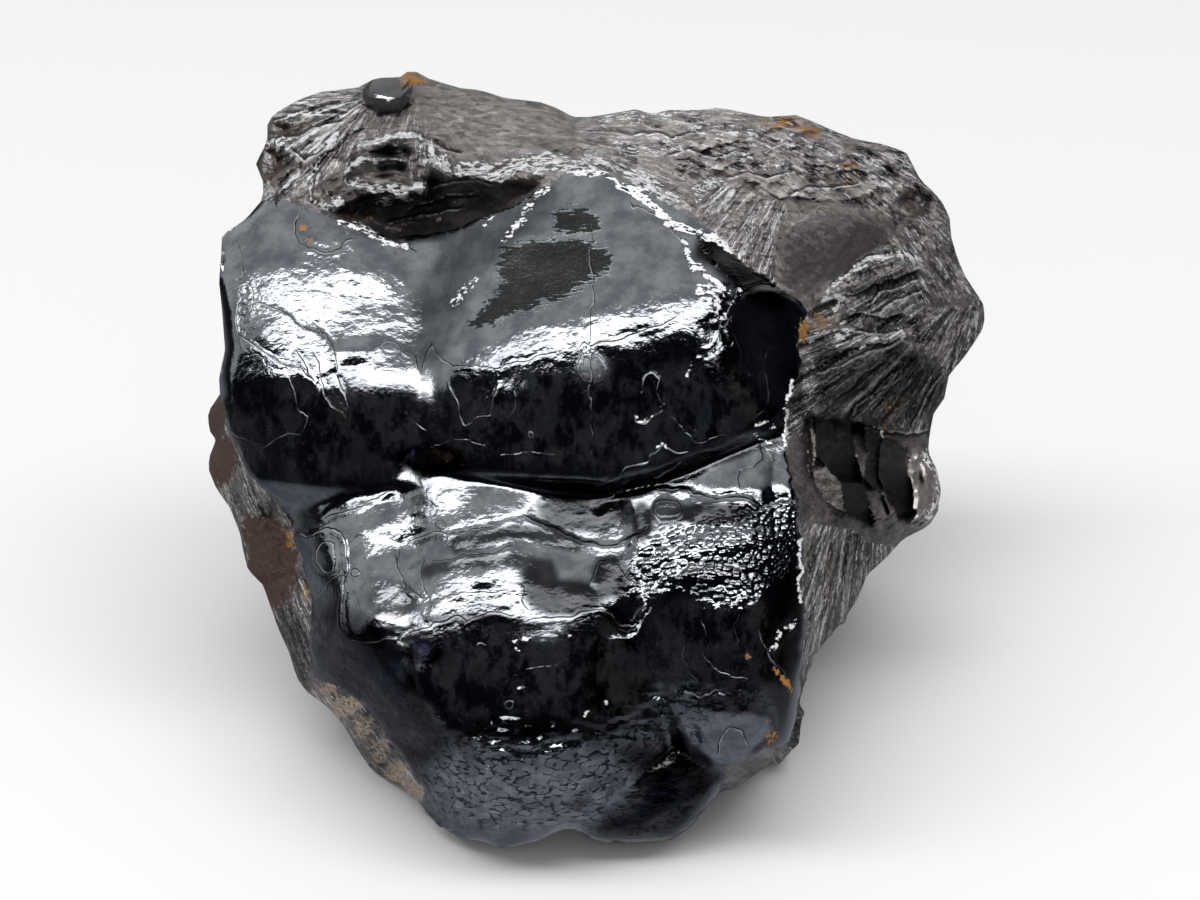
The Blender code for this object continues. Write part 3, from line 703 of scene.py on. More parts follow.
for stretch, relief in (        # heights in mm
        (streaked, 0.10 * grain(drawn(34, 16), 13) + 0.028 * grain(drawn(13, 7), 16)),
        (rumpled, 0.10 * grain(drawn(50, 24), 18) + 0.05 * grain(drawn(20, 11), 19)),
        (pebbled, (0.08 + 0.12 * lumps) * np.abs(grain(drawn(10, 8), 14))),
        (pitted, 0.16 * plates(drawn(17, 10, 0.5), 15) + 0.05 * grain(drawn(9, 6), 17)),
        (flecked, 0.26 * grain(drawn(12, 4), 21))):
    skin_relief += stretch * relief
print("pebbled points:", int((pebbled > 0.5).sum()))

# %% [markdown]
# The cracks are drawn as lines.  A line lifts the layer on its right-hand side and
# drops the one on its left, both fading away, with a fine groove between them.
# Rings are bubbles that burst in the skin while it grew.

# %% Cracks and flakes: the step in mm, then the line
CRACKS = [
    # upper left swell
    (0.12, [(247, 219), (253, 225), (260, 228)]),
    (0.10, [(238, 235), (241, 252), (243, 270), (246, 282)]),
    (0.25, [(240, 300), (238, 290), (244, 282), (254, 284), (254, 296), (246, 302)]),
    (0.30, [(250, 300), (262, 303), (275, 308), (288, 317), (300, 326), (325, 335)]),
    (0.22, [(239, 300), (236, 320), (240, 335), (262, 350), (280, 363), (300, 368),
            (318, 382)]),
    (0.30, [(294, 348), (303, 362), (312, 375), (319, 387)]),
    (0.35, [(310, 320), (325, 333), (335, 350), (338, 372)]),
    (0.30, [(311, 350), (322, 372), (327, 395), (338, 410), (350, 419)]),
    (0.20, [(338, 372), (343, 392), (349, 408), (350, 419)]),
    (0.15, [(285, 370), (292, 385), (297, 400), (300, 412), (310, 418), (303, 435),
            (290, 434), (262, 448), (235, 438), (226, 425)]),
    (0.20, [(372, 350), (388, 342), (405, 348), (416, 359), (419, 373)]),
    (0.08, [(404, 411), (415, 420), (427, 430)]),
    (0.30, [(300, 210), (295, 220), (295, 232), (300, 242), (310, 248), (325, 251),
            (338, 249), (348, 242), (356, 235)]),
    (0.15, [(345, 222), (360, 227), (375, 232), (390, 237), (404, 244), (420, 254)]),
    # upper right swell
    (0.22, [(420, 373), (424, 358), (430, 342), (436, 352), (445, 362), (452, 366),
            (475, 364), (500, 367), (512, 362), (525, 362), (543, 355), (560, 354)]),
    (0.18, [(448, 375), (449, 390), (455, 400), (458, 412), (465, 424), (478, 418),
            (490, 415), (497, 390), (500, 378)]),
    (0.12, [(522, 372), (517, 385), (518, 400), (513, 412), (505, 420)]),
    (0.15, [(572, 352), (585, 343), (592, 347), (600, 341), (620, 338), (645, 331),
            (660, 325), (680, 316)]),
    (0.06, [(430, 450), (445, 443), (470, 441), (483, 446), (500, 453), (520, 455),
            (535, 452), (570, 453)]),
    (0.30, [(626, 199), (640, 209), (655, 214), (667, 219), (675, 232), (683, 243),
            (691, 258), (692, 272)]),
    (0.30, [(795, 300), (776, 286), (758, 284), (739, 287), (735, 302), (723, 322),
            (723, 340), (711, 352), (696, 358)]),
    (0.15, [(592, 487), (606, 480), (618, 476), (628, 468), (645, 464), (652, 452),
            (659, 444), (672, 448), (683, 451), (697, 449)]),
    (0.20, [(636, 413), (638, 422), (646, 423), (655, 416), (663, 408)]),
    (0.10, [(670, 412), (684, 430), (700, 444), (716, 438), (742, 433)]),
    (0.08, [(733, 330), (741, 352), (738, 384), (744, 425)]),
    (0.10, [(768, 345), (764, 372), (770, 395), (757, 424)]),
    (0.18, [(640, 398), (643, 380), (652, 372), (660, 380), (658, 395), (666, 404)]),
    (0.15, [(590, 215), (592, 270), (591, 330), (592, 400), (592, 470)]),
    # lower left swell
    (0.22, [(320, 520), (340, 512), (360, 505), (380, 497), (400, 490)]),
    (0.45, [(300, 535), (306, 537), (315, 530), (328, 528), (340, 532), (347, 545),
            (348, 560), (347, 575), (344, 595), (341, 612), (342, 625), (347, 636)]),
    (0.06, [(385, 513), (382, 525), (377, 545), (371, 556), (360, 562)]),
    (0.08, [(350, 580), (354, 592), (356, 603), (362, 613), (368, 619), (380, 610),
            (395, 598), (405, 585), (404, 575)]),
    (0.15, [(345, 574), (335, 577), (330, 585), (324, 595), (315, 603)]),
    (0.15, [(350, 640), (362, 641), (375, 640), (398, 637)]),
    (0.12, [(400, 637), (415, 630), (430, 626), (445, 620), (458, 616), (468, 620),
            (480, 618), (490, 612), (502, 612), (510, 616), (520, 614)]),
    (0.12, [(520, 622), (540, 619), (560, 616), (580, 613), (600, 611), (612, 616),
            (622, 624), (635, 622), (643, 612), (650, 604)]),
    (0.25, [(606, 637), (620, 636), (633, 631), (645, 616), (651, 607)]),
    (0.25, [(627, 577), (639, 586), (645, 601), (633, 622)]),
    (0.22, [(395, 563), (400, 552), (408, 543), (425, 537), (440, 534), (460, 531),
            (480, 528), (500, 522), (520, 517)]),
    (0.15, [(427, 562), (457, 556), (490, 553), (515, 548)]),
    (0.35, [(520, 512), (535, 520), (548, 526), (565, 533), (585, 541), (605, 545),
            (620, 543), (633, 538), (648, 528)]),
    (0.20, [(392, 555), (398, 572), (404, 586), (424, 598)]),
    (0.15, [(424, 555), (423, 575), (427, 594)]),
    (0.18, [(524, 585), (522, 600), (529, 612)]),
    (0.22, [(588, 585), (597, 565), (611, 557), (620, 566), (627, 577)]),
    (0.15, [(425, 604), (450, 596), (480, 592), (510, 590)]),
    (0.05, [(437, 733), (450, 728), (458, 715), (470, 705), (485, 694), (500, 685),
            (515, 675), (530, 668), (555, 663), (580, 658)]),
    # lower right swell
    (0.45, [(655, 492), (668, 488), (680, 488), (697, 496), (715, 500), (735, 498),
            (750, 500), (762, 508), (775, 505), (795, 499)]),
    (0.12, [(759, 443), (763, 460), (752, 466), (740, 470), (741, 494)]),
    (0.14, [(700, 616), (706, 636), (702, 652), (715, 668), (735, 678), (752, 676)]),
    (0.12, [(690, 640), (684, 655), (690, 672), (702, 684)]),
    (0.10, [(742, 610), (736, 625), (741, 640), (733, 655)]),
    (0.20, [(770, 648), (775, 640), (782, 632), (795, 622)]),
    (0.30, [(757, 628), (762, 640), (768, 652), (776, 665), (785, 675), (793, 690)]),
    (0.20, [(716, 757), (717, 742), (722, 732), (732, 725), (742, 727), (746, 738),
            (750, 748)]),
    (0.20, [(680, 690), (700, 697), (715, 690), (730, 694), (745, 686)]),
]
print("longest crack:", max(len(line) for _, line in CRACKS), "points")

# %% [markdown]
# A ring is a line that closes on itself, so the same ledge serves, with no ends to
# fade.  For the finish, each point keeps the line that runs nearest to it.

# %% Bubbles, and the cracks laid on the skin
def ring(cx, cy, rx, ry=None):
    """A small round line, or an oval one."""
    ry = ry or rx
    steps = [math.tau * k / 12 for k in range(12)]
    return [(cx + rx * math.cos(a), cy + ry * math.sin(a)) for a in steps]


BUBBLES = [
    (0.10, ring(592, 369, 16)), (0.12, ring(532, 434, 4)), (0.25, ring(326, 556, 11, 16)),
    (0.15, ring(356, 571, 5)), (0.25, ring(668, 509, 14, 10)), (0.12, ring(508, 706, 5)),
    (0.06, ring(583, 710, 4)), (0.06, ring(530, 714, 8, 4)), (0.05, ring(481, 650, 6)),
    (0.10, ring(442, 525, 5)), (0.06, ring(552, 585, 8)),
]
CRACK_LIFT, CRACK_WIDE = 0.6, 2.0   # share of the step that is lifted, in squares
CRACK_FADE = 12.0           # squares over which a lifted layer settles again
NO_LINE = 9.0               # squares, as good as no line at all
line_side = np.full(len(px), NO_LINE)
line_step = np.zeros(len(px))
for closed, lines in ((False, CRACKS), (True, BUBBLES)):
    for step, line in lines:
        lifted, gap, ends = ledge(line, CRACK_LIFT * step, CRACK_WIDE, CRACK_FADE, 0.08,
                                  closed)
        skin_relief += lifted
        line_side, line_step = nearest_line(line_side, line_step, gap, ends * step)
line_step *= smooth_step(7.0, 3.0, np.abs(line_side))
print(len(CRACKS), "cracks and", len(BUBBLES), "bubbles")

# %% [markdown]
# ## The break
#
# Kidney ore is a bundle of needles that all grew outwards.  Where it breaks, the
# needles show as fans of fine grooves, each running from one point.  Fans are the
# easiest way to say this: each has a seat, where it lies on the drawing, and a
# focus, from which its grooves spread.  A point belongs to the fan whose seat is
# nearest, and the relief dies down where two fans meet.  Measured round the focus and
# along the needle, long thin plates make the grooves.

# %% Fans: seat x, y, focus x, y, groove depth in mm, chip depth in mm
FANS = [
    (310, 125, 378, 93, 0.75, 0.15), (480, 135, 425, 100, 0.10, 0.30),
    (430, 172, 425, 60, 0.30, 0.70), (510, 195, 430, 160, 0.12, 0.60),
    (370, 205, 430, 170, 0.15, 0.80), (650, 180, 540, 130, 0.30, 0.80),
    (735, 235, 830, 90, 0.45, 0.60), (830, 250, 940, 120, 0.08, 0.16),
    (700, 140, 560, 100, 0.30, 1.15), (800, 150, 600, 60, 0.30, 1.15),
    (880, 180, 700, 60, 0.35, 1.20), (865, 300, 1010, 215, 0.90, 0.60),
    (840, 375, 975, 286, 0.80, 0.25), (905, 385, 975, 286, 0.80, 0.30),
    (955, 345, 985, 270, 0.60, 0.50), (850, 590, 885, 330, 0.65, 0.30),
    (950, 250, 820, 110, 0.45, 0.60), (255, 530, 60, 10, 0.35, 0.40),
    (285, 630, 60, 10, 0.55, 0.50), (350, 725, 60, 300, 0.30, 1.00),
    (755, 770, 650, 700, 0.15, 0.40), (870, 470, 925, 325, 0.10, 0.10),
]
FAN_WANDER = 11.0           # squares, so that fans don't meet in straight lines
FAN_STEP = 40.0             # sets the grooves of one fan apart from the next fan's
fans = np.array(FANS, dtype=float)
uneven_x = px + FAN_WANDER * grain(drawn(38, 30), 24)
uneven_y = py + FAN_WANDER * grain(drawn(38, 30), 25)
seat_gap = [(uneven_x - x) ** 2 + (uneven_y - y) ** 2 for x, y in fans[:, :2]]
fan = np.argmin(seat_gap, axis=0)
nearest, second = np.sqrt(np.sort(seat_gap, axis=0)[:2])
meeting = 0.3 + 0.7 * smooth_step(0.0, 12.0, second - nearest)
from_x, from_y = px - fans[fan, 2], py - fans[fan, 3]
run = np.hypot(from_x, from_y)
usual = np.hypot(fans[fan, 0] - fans[fan, 2], fans[fan, 1] - fans[fan, 3])
fibre = np.column_stack([from_x / run * usual, from_y / run * usual, run / 8.0])
fibre[:, 2] += FAN_STEP * fan
behind = on_ball[:, :2] / np.maximum(np.hypot(*on_ball[:, :2].T), 1e-6)[:, None]
fibre = np.where(front[:, None], fibre,
                 np.column_stack([behind * 160.0, toward * 60.0 + 900.0]))
grooves = (1.1 * plates(fibre / 11.0, 21) + 0.7 * plates(fibre / 5.0, 22)
           + 0.25 * grain(fibre / 3.5, 23))
print(len(FANS), "fans")

# %% [markdown]
# Hollows are carved along the line of sight: the deep black one under the lip, two
# notches in the left edge, a pocket at the far right.  Ridges and clefts are drawn
# as strokes, plus for a ridge and minus for a cleft.

# %% Hollows and strokes
HOLLOWS = [                 # depth in mm, width of the wall, then the outline
    (4.2, 9.0, [(310, 190), (330, 204), (350, 200), (372, 192), (400, 198),
                (425, 187), (432, 168), (452, 172), (500, 181), (546, 179),
                (534, 196), (505, 214), (468, 229), (425, 242), (392, 240),
                (352, 224), (322, 210)]),
    (3.0, 5.0, [(256, 124), (268, 121), (280, 123), (293, 131), (280, 138),
                (266, 141), (256, 141)]),
    (3.2, 5.0, [(248, 160), (262, 151), (272, 147), (286, 153), (300, 164),
                (288, 168), (276, 178), (262, 192), (248, 190)]),
    (3.5, 9.0, [(893, 190), (915, 184), (936, 200), (930, 218), (905, 221)]),
    (2.0, 5.0, [(256, 505), (268, 503), (277, 512), (270, 522), (258, 518)]),
    (2.2, 5.0, [(372, 163), (392, 163), (409, 163), (409, 173), (380, 173)]),
    (1.8, 4.0, [(366, 151), (385, 145), (405, 144), (416, 149), (416, 159), (400, 160),
                (382, 158)]),
]
STROKES = [                 # height in mm, width, then the line
    (1.3, 5.0, [(345, 155), (360, 146), (372, 142), (395, 138), (415, 135), (424, 141),
                (432, 151), (437, 163), (450, 170), (480, 177), (500, 179), (512, 175),
                (525, 171), (540, 172)]),
    (-0.9, 2.5, [(430, 141), (450, 148), (467, 152)]),
    (1.6, 4.0, [(335, 190), (345, 178), (355, 165), (362, 158), (370, 150), (376, 158),
                (392, 163)]),
    (1.5, 6.0, [(413, 148), (414, 165), (416, 183)]),
    (1.2, 3.0, [(360, 190), (372, 193), (385, 191), (400, 197), (412, 191), (425, 188)]),
    (1.8, 5.0, [(428, 192), (440, 182), (455, 177), (475, 181), (500, 186)]),
    (0.8, 2.5, [(322, 171), (316, 178), (311, 186), (312, 195), (320, 203), (330, 208),
                (342, 204)]),
    (1.0, 4.0, [(592, 125), (588, 132), (585, 140), (580, 155)]),
    (-2.0, 4.0, [(560, 153), (570, 153), (578, 151)]),
    (1.0, 5.0, [(820, 300), (835, 290), (850, 280), (865, 270), (880, 262), (900, 258),
                (925, 255)]),
    (-1.4, 2.5, [(918, 463), (920, 472), (922, 480)]),
    (0.9, 3.0, [(845, 515), (860, 521), (875, 525), (890, 520), (905, 510), (918, 514),
                (930, 520)]),
    (0.6, 2.5, [(225, 430), (233, 455), (240, 480), (245, 500)]),
    (-0.9, 3.0, [(806, 420), (808, 460), (807, 500), (808, 560), (808, 620), (804, 670)]),
]
carved = np.zeros(len(px))
for deep, wall, outline in HOLLOWS:
    carved -= deep * smooth_step(0.0, wall, inside_by(outline, wander_x, wander_y))
for high, wide, line in STROKES:
    gap, along = to_segments(line, wander_x, wander_y)
    carved += high * np.exp(-(gap / wide) ** 2)
print("deepest hollow:", round(float(carved.min()), 1), "mm")

# %% [markdown]
# On the right face a few slivers came away clean and left flat glassy facets.  Each
# is a plate of its own with its own slope and lightness, so it is drawn as an
# outline, and the nearest outline decides which plate a point lies on.  The lightness
# is painted light and shade: each facet is made lighter or darker as it would catch
# the light.

# %% Facets
FACETS = [                  # slope across and down in mm a square, lightness, outline
    (-0.03, 0.06, 0.42, [(804, 420), (810, 416), (814, 418), (817, 457), (810, 475),
                         (803, 459)]),
    (-0.05, 0.08, 0.46, [(817, 457), (841, 482), (843, 500), (836, 514), (824, 503),
                         (810, 480)]),
    (-0.23, -0.05, 0.16, [(814, 416), (831, 418), (836, 436), (852, 437), (858, 466),
                          (863, 482), (841, 482), (817, 457)]),
    (-0.14, 0.08, 0.36, [(831, 418), (850, 425), (852, 437), (836, 436)]),
    (-0.26, -0.03, 0.13, [(843, 483), (863, 483), (870, 507), (873, 524), (863, 523),
                          (854, 507), (845, 501)]),
    (-0.07, 0.09, 0.50, [(851, 425), (863, 427), (864, 446), (867, 453), (866, 466),
                         (863, 482), (857, 459)]),
    (-0.08, 0.11, 0.66, [(865, 482), (870, 484), (879, 494), (887, 514), (881, 517),
                         (875, 524), (871, 510)]),
    (-0.22, -0.02, 0.26, [(864, 427), (884, 432), (879, 444), (877, 478), (884, 496),
                          (887, 514), (879, 494), (866, 482), (867, 453)]),
    (-0.09, 0.10, 0.66, [(877, 478), (881, 486), (889, 500), (898, 515), (890, 514),
                         (882, 498)]),
    (-0.24, -0.05, 0.17, [(886, 435), (904, 446), (908, 452), (907, 471), (913, 489),
                          (913, 514), (898, 515), (884, 492), (879, 475), (879, 453)]),
    (-0.04, 0.08, 1.10, [(908, 450), (915, 453), (919, 471), (923, 487), (917, 510),
                         (913, 510), (913, 489), (907, 471)]),
    (-0.30, 0.05, 0.10, [(919, 471), (924, 481), (924, 490), (921, 483)]),
    (-0.14, 0.05, 1.50, [(915, 453), (929, 455), (938, 471), (939, 489), (932, 515),
                         (918, 523), (917, 510), (923, 487), (925, 480), (919, 471)]),
]
print(len(FACETS), "facets")

# %% [markdown]
# Elsewhere the break goes down in steps, where one bundle of needles snapped a
# little lower than the next.  The step's own edge is noted as well, because it is
# bright where it catches the light and dark in its shelter.

# %% Steps
STEPS = [                   # rise to the right hand in mm, width, fade, then the line
    (1.7, 2.0, 26.0, [(822, 300), (845, 275), (868, 259), (890, 254), (925, 256)]),
    (-1.3, 1.6, 12.0, [(838, 297), (865, 290), (885, 281), (903, 274), (924, 264)]),
    (1.1, 1.6, 12.0, [(860, 307), (880, 293), (900, 286), (924, 276)]),
    (1.1, 1.6, 10.0, [(868, 318), (890, 304), (905, 299), (926, 288)]),
    (-0.9, 1.6, 10.0, [(845, 319), (862, 314), (885, 317), (908, 311)]),
    (1.0, 1.6, 10.0, [(840, 324), (855, 332), (880, 334), (912, 331)]),
    (-1.0, 1.6, 10.0, [(832, 353), (858, 348), (885, 344), (910, 337)]),
    (1.1, 1.6, 14.0, [(812, 374), (845, 362), (880, 350), (912, 339)]),
    (-1.0, 1.6, 12.0, [(830, 402), (860, 378), (890, 356)]),
    (1.1, 1.6, 12.0, [(846, 420), (874, 391), (904, 362)]),
    (-0.9, 1.6, 10.0, [(878, 426), (900, 395), (925, 363)]),
    (0.9, 1.6, 10.0, [(908, 430), (922, 402), (944, 366)]),
    (-1.6, 2.0, 14.0, [(845, 418), (865, 424), (885, 429), (905, 434), (932, 431)]),
    (1.2, 2.0, 20.0, [(345, 155), (360, 146), (372, 142), (395, 138), (415, 135),
                      (424, 141), (432, 151), (437, 163), (450, 171), (480, 178),
                      (500, 180), (512, 176), (525, 172), (540, 172)]),
    (0.9, 1.6, 10.0, [(350, 186), (368, 190), (385, 188), (400, 194), (425, 187)]),
    (-0.8, 1.6, 10.0, [(372, 160), (392, 161), (409, 160)]),
    (0.9, 1.6, 8.0, [(430, 188), (450, 180), (480, 183), (505, 186)]),
    (-0.9, 1.6, 8.0, [(400, 214), (425, 204), (450, 196), (485, 194)]),
    (0.9, 1.6, 8.0, [(380, 222), (410, 219), (440, 212), (470, 208)]),
    (1.1, 1.8, 14.0, [(262, 143), (280, 140), (300, 134), (330, 126), (350, 118)]),
    (1.3, 1.8, 14.0, [(255, 152), (275, 146), (290, 150), (304, 160), (318, 150),
                      (345, 140)]),
    (-0.8, 1.6, 10.0, [(278, 104), (300, 106), (330, 108), (356, 110)]),
    (0.8, 1.6, 10.0, [(272, 116), (300, 116), (330, 115), (356, 113)]),
    (-0.9, 1.6, 10.0, [(298, 176), (318, 160), (340, 142), (362, 128)]),
    (0.9, 1.6, 10.0, [(430, 143), (447, 149), (466, 152)]),
    (0.9, 2.0, 14.0, [(610, 135), (640, 132), (670, 138), (700, 134)]),
    (0.9, 1.8, 12.0, [(660, 156), (690, 150), (716, 158), (745, 152)]),
    (1.0, 1.8, 12.0, [(720, 180), (745, 172), (770, 178), (800, 168)]),
    (0.8, 1.8, 12.0, [(780, 200), (806, 188), (835, 190), (868, 178)]),
    (0.4, 2.0, 16.0, [(775, 242), (796, 222), (820, 205), (848, 206), (872, 214)]),
    (0.9, 2.0, 14.0, [(585, 172), (610, 176), (640, 190), (668, 206), (700, 226)]),
]
print(len(STEPS), "steps")

# %% [markdown]
# One bundle broke so evenly that it left a smooth dark wedge, and a bead of the
# mirror skin sits on the top, half of an egg pressed into the ground.

# %% The faceted ground, the wedge and the bead
FACETED = [(803, 420), (812, 412), (850, 424), (882, 430), (906, 445), (930, 455),
           (942, 480), (941, 505), (932, 522), (905, 521), (880, 523), (865, 527),
           (845, 517), (820, 502), (803, 470)]
WEDGE = [(784, 244), (800, 222), (826, 206), (848, 203), (884, 214), (904, 230),
         (868, 256), (840, 274), (821, 296), (800, 300), (782, 284)]
BEAD = ((387, 95), (24.5, 18.5), 3.6)       # middle, half width and height, mm high

facet = np.argmax([inside_by(one[3], px, py) for one in FACETS], axis=0)
seats = np.array([np.mean(one[3], axis=0) for one in FACETS])
slopes = np.array([one[:3] for one in FACETS])
facet_w = break_sheet(seats[:, 0], seats[:, 1])[facet]
facet_w += slopes[facet, 0] * (px - seats[facet, 0])
facet_w += slopes[facet, 1] * (py - seats[facet, 1])
edge_side = np.full(len(px), NO_LINE)
edge_step = np.zeros(len(px))
for rise, wide, fade, line in STEPS:
    stepped, gap, ends = ledge(line, rise, wide, fade, 0.15)
    carved += stepped
    edge_side, edge_step = nearest_line(edge_side, edge_step,
                                        gap * math.copysign(1.0, rise), ends * abs(rise))
edge_step *= smooth_step(7.0, 4.0, np.abs(edge_side))
(bead_x, bead_y), (bead_rx, bead_ry), bead_high = BEAD
bead = 1.0 - ((px - bead_x) / bead_rx) ** 2 - ((py - bead_y) / bead_ry) ** 2
print("deepest carving:", round(float(carved.min()), 1), "mm")

# %% [markdown]
# ## The depth of every point
#
# Now the parts are added up.  The break is its sheet, the facets, the carving and the
# grooves and chips; the skin is its swells and its low relief, and it curls under a
# little at its edge.  At the rim both turn round to meet the back.

# %% Put the depth together
EDGE_CURL, CURL_REACH = 0.25, 3.0           # mm, and squares from the skin's edge
RIM_ROUNDING = 12.0         # squares over which the front turns into the rim
BEAD_SINK = 0.6             # share by which the ground under the bead is levelled
break_w = break_sheet(px, py)
faceted = patch(FACETED, 3.0)
break_w = break_w + faceted * (facet_w - break_w) + carved
rough = (1.0 - faceted) * (1.0 - smooth_step(-0.05, 0.0, bead))
rough *= 1.0 - 0.6 * smooth_step(1.5, 3.5, -carved)
wedge = patch(WEDGE, 5.0)
rough *= (1.0 - 0.85 * wedge) * np.where(front, meeting, 1.0)
chips = (0.9 * plates(drawn(34, 20, 0.5), 31) + 0.6 * plates(drawn(15, 8, 0.5), 32)
         + 0.3 * plates(drawn(6, 5, 0.5), 34) + 0.12 * grain(drawn(5, 5), 33))
break_relief = rough * (fans[fan, 4] * grooves + fans[fan, 5] * chips)
break_w += break_relief
bead_seat = break_sheet(np.array([bead_x]), np.array([bead_y]))[0]
break_w += np.where(bead > 0.0, BEAD_SINK * (bead_seat - break_w), 0.0)
break_w += bead_high * np.sqrt(np.clip(bead, 0.0, 1.0))
skin_w = swells_depth(px, py) + skin_relief
skin_w -= EDGE_CURL * np.exp(-np.clip(skin_reach, 0.0, None) / CURL_REACH)
on_skin = smooth_step(-2.0, 1.5, skin_reach)
w = on_skin * skin_w + (1.0 - on_skin) * break_w
from_rim = np.clip(rim_gap / RIM_ROUNDING, 0.0, 1.0)
w = rim_w + (w - rim_w) * np.sqrt(1.0 - (1.0 - from_rim) ** 2)
back_w = np.maximum(rim_w + BACK_BULGE * toward, flats_depth(px, py))
w = np.where(front, w, np.minimum(back_w, rim_w))
print("depth runs from", round(float(w.min()), 1), "to", round(float(w.max()), 1), "mm")

# %% [markdown]
# ## Settling the stone
#
# The points go to space, the hidden back gets its own chips and grooves along its
# normals, and the underside is laid flat.  The whole is then scaled to the CAD
# solid's width and centred over its base, so both stones share one frame.

# %% Back relief, flat underside and scale
def place(points):
    """Moves every vertex of the ball to its point."""
    for vertex, at in zip(ball.verts, points):
        vertex.co = at


BACK_SMOOTHING = 3          # passes that ease the corners between the back's flats
place(to_space(px, py, w))
for _ in range(BACK_SMOOTHING):
    bmesh.ops.smooth_vert(ball, verts=[v for v, z in zip(ball.verts, toward) if z < 0],
                          factor=0.5, use_axis_x=True, use_axis_y=True, use_axis_z=True)
bmesh.ops.recalc_face_normals(ball, faces=ball.faces)
ball.normal_update()
points = np.array([v.co[:] for v in ball.verts])
normals = np.array([v.normal[:] for v in ball.verts])
back_relief = 1.3 * plates(points / 11.0, 41) + 0.7 * plates(points / 4.0, 42)
back_relief += 0.45 * grooves + 0.15 * grain(points / 0.9, 43)
hidden = smooth_step(0.0, -0.10, toward)
points += normals * (hidden * back_relief)[:, None]
underside = points[:, 2] < -REST_HEIGHT
points[:, 2] = np.maximum(points[:, 2], -REST_HEIGHT)

low, high = points.min(axis=0), points.max(axis=0)
scale = (cad_high[0] - cad_low[0]) / (high[0] - low[0])
middle = np.array([(low[0] + high[0]) / 2, (low[1] + high[1]) / 2, low[2]])
eye = np.array([0.0, -SIGHT_DISTANCE * COS, SIGHT_DISTANCE * SIN])
eye = (eye - middle) * scale
points = (points - middle) * scale
points = np.clip(points, np.array(cad_low), np.array(cad_high))
place(points)
bmesh.ops.recalc_face_normals(ball, faces=ball.faces)
print("a drawn millimetre is", round(scale * 1000, 3), "mm; underside points:",
      int(underside.sum()))

# %% [markdown]
# So far the stone is only a bmesh.  It is written to a mesh and given an object, and
# shaded smoothly, with the edges that turn sharply marked so that chips stay crisp.

# %% The mesh
SHARP = math.radians(32.0)  # an edge that turns more than this is left crisp
mesh = bpy.data.meshes.new("kidney_ore")
ball.to_mesh(mesh)
ball.free()
mesh.shade_smooth()
mesh.set_sharp_from_angle(angle=SHARP)
stone = bpy.data.objects.new("kidney_ore", mesh)
bpy.context.scene.collection.objects.link(stone)
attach(stone, "root")
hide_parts("hematite")
print(len(mesh.polygons), "triangles in the stone")

# %% [markdown]
# ## What the surface remembers
#
# The finish needs to know where it is: on the skin or on the break, near a crack,
# on an ochre spot.  Each of these is written on the points as an attribute.  A
# signed distance is better than a plain mask, because it stays sharp between
# points: the material finds the exact place where it passes through zero.

# %% Stains: x, y, half width, half height, strength
OCHRE = [
    (411, 79, 12, 10, 1.0), (430, 88, 14, 6, 0.5), (790, 124, 26, 9, 0.7),
    (770, 122, 24, 8, 0.5), (812, 132, 10, 8, 0.9), (853, 168, 16, 12, 0.6),
    (845, 184, 10, 10, 0.5), (740, 178, 30, 10, 0.35), (670, 122, 30, 8, 0.3),
    (804, 331, 8, 12, 1.1), (820, 322, 14, 10, 0.7), (836, 322, 10, 8, 0.5),
    (888, 415, 10, 26, 0.5), (897, 400, 12, 16, 0.35), (826, 580, 7, 40, 0.45),
    (749, 658, 4, 4, 1.0), (774, 668, 3, 3, 1.0), (778, 673, 3, 3, 1.1),
    (782, 678, 3, 4, 1.2), (786, 683, 4, 4, 1.3), (790, 689, 4, 4, 1.2),
    (772, 738, 8, 10, 0.9), (766, 726, 10, 8, 0.5), (303, 227, 4, 4, 1.0),
    (310, 241, 4, 4, 0.9), (356, 214, 12, 9, 0.5), (368, 216, 8, 7, 0.6),
    (290, 540, 7, 12, 0.7), (305, 592, 6, 8, 0.7), (452, 264, 5, 5, 0.3),
    (905, 200, 14, 14, 0.3), (795, 705, 8, 5, 0.4),
]
CRUST = [
    (328, 690, 11, 6, 1.0), (345, 706, 15, 8, 1.2), (362, 728, 10, 11, 0.9),
    (379, 750, 10, 11, 0.8), (396, 773, 10, 11, 1.0), (412, 792, 10, 10, 1.2),
]
BROWN = [
    (275, 130, 14, 8, 0.7), (266, 165, 18, 18, 0.7), (272, 565, 22, 38, 1.2),
    (254, 530, 12, 16, 0.9), (214, 420, 10, 24, 1.2), (222, 460, 14, 24, 1.0),
    (465, 742, 8, 10, 0.28), (720, 160, 110, 50, 0.16), (885, 190, 50, 50, 0.16),
    (270, 535, 14, 20, 0.8),
]
# Two ragged patches where the skin is made darker and duller.
DARK_PATCHES = [                    # outlines
    [(500, 250), (532, 240), (560, 238), (590, 240), (612, 256), (608, 272), (590, 282),
     (560, 300), (530, 308), (505, 318), (476, 330), (468, 326), (490, 300), (500, 286)],
    [(553, 214), (575, 207), (598, 212), (598, 226), (580, 236), (556, 232)],
]
print(len(OCHRE) + len(CRUST) + len(BROWN), "stains")
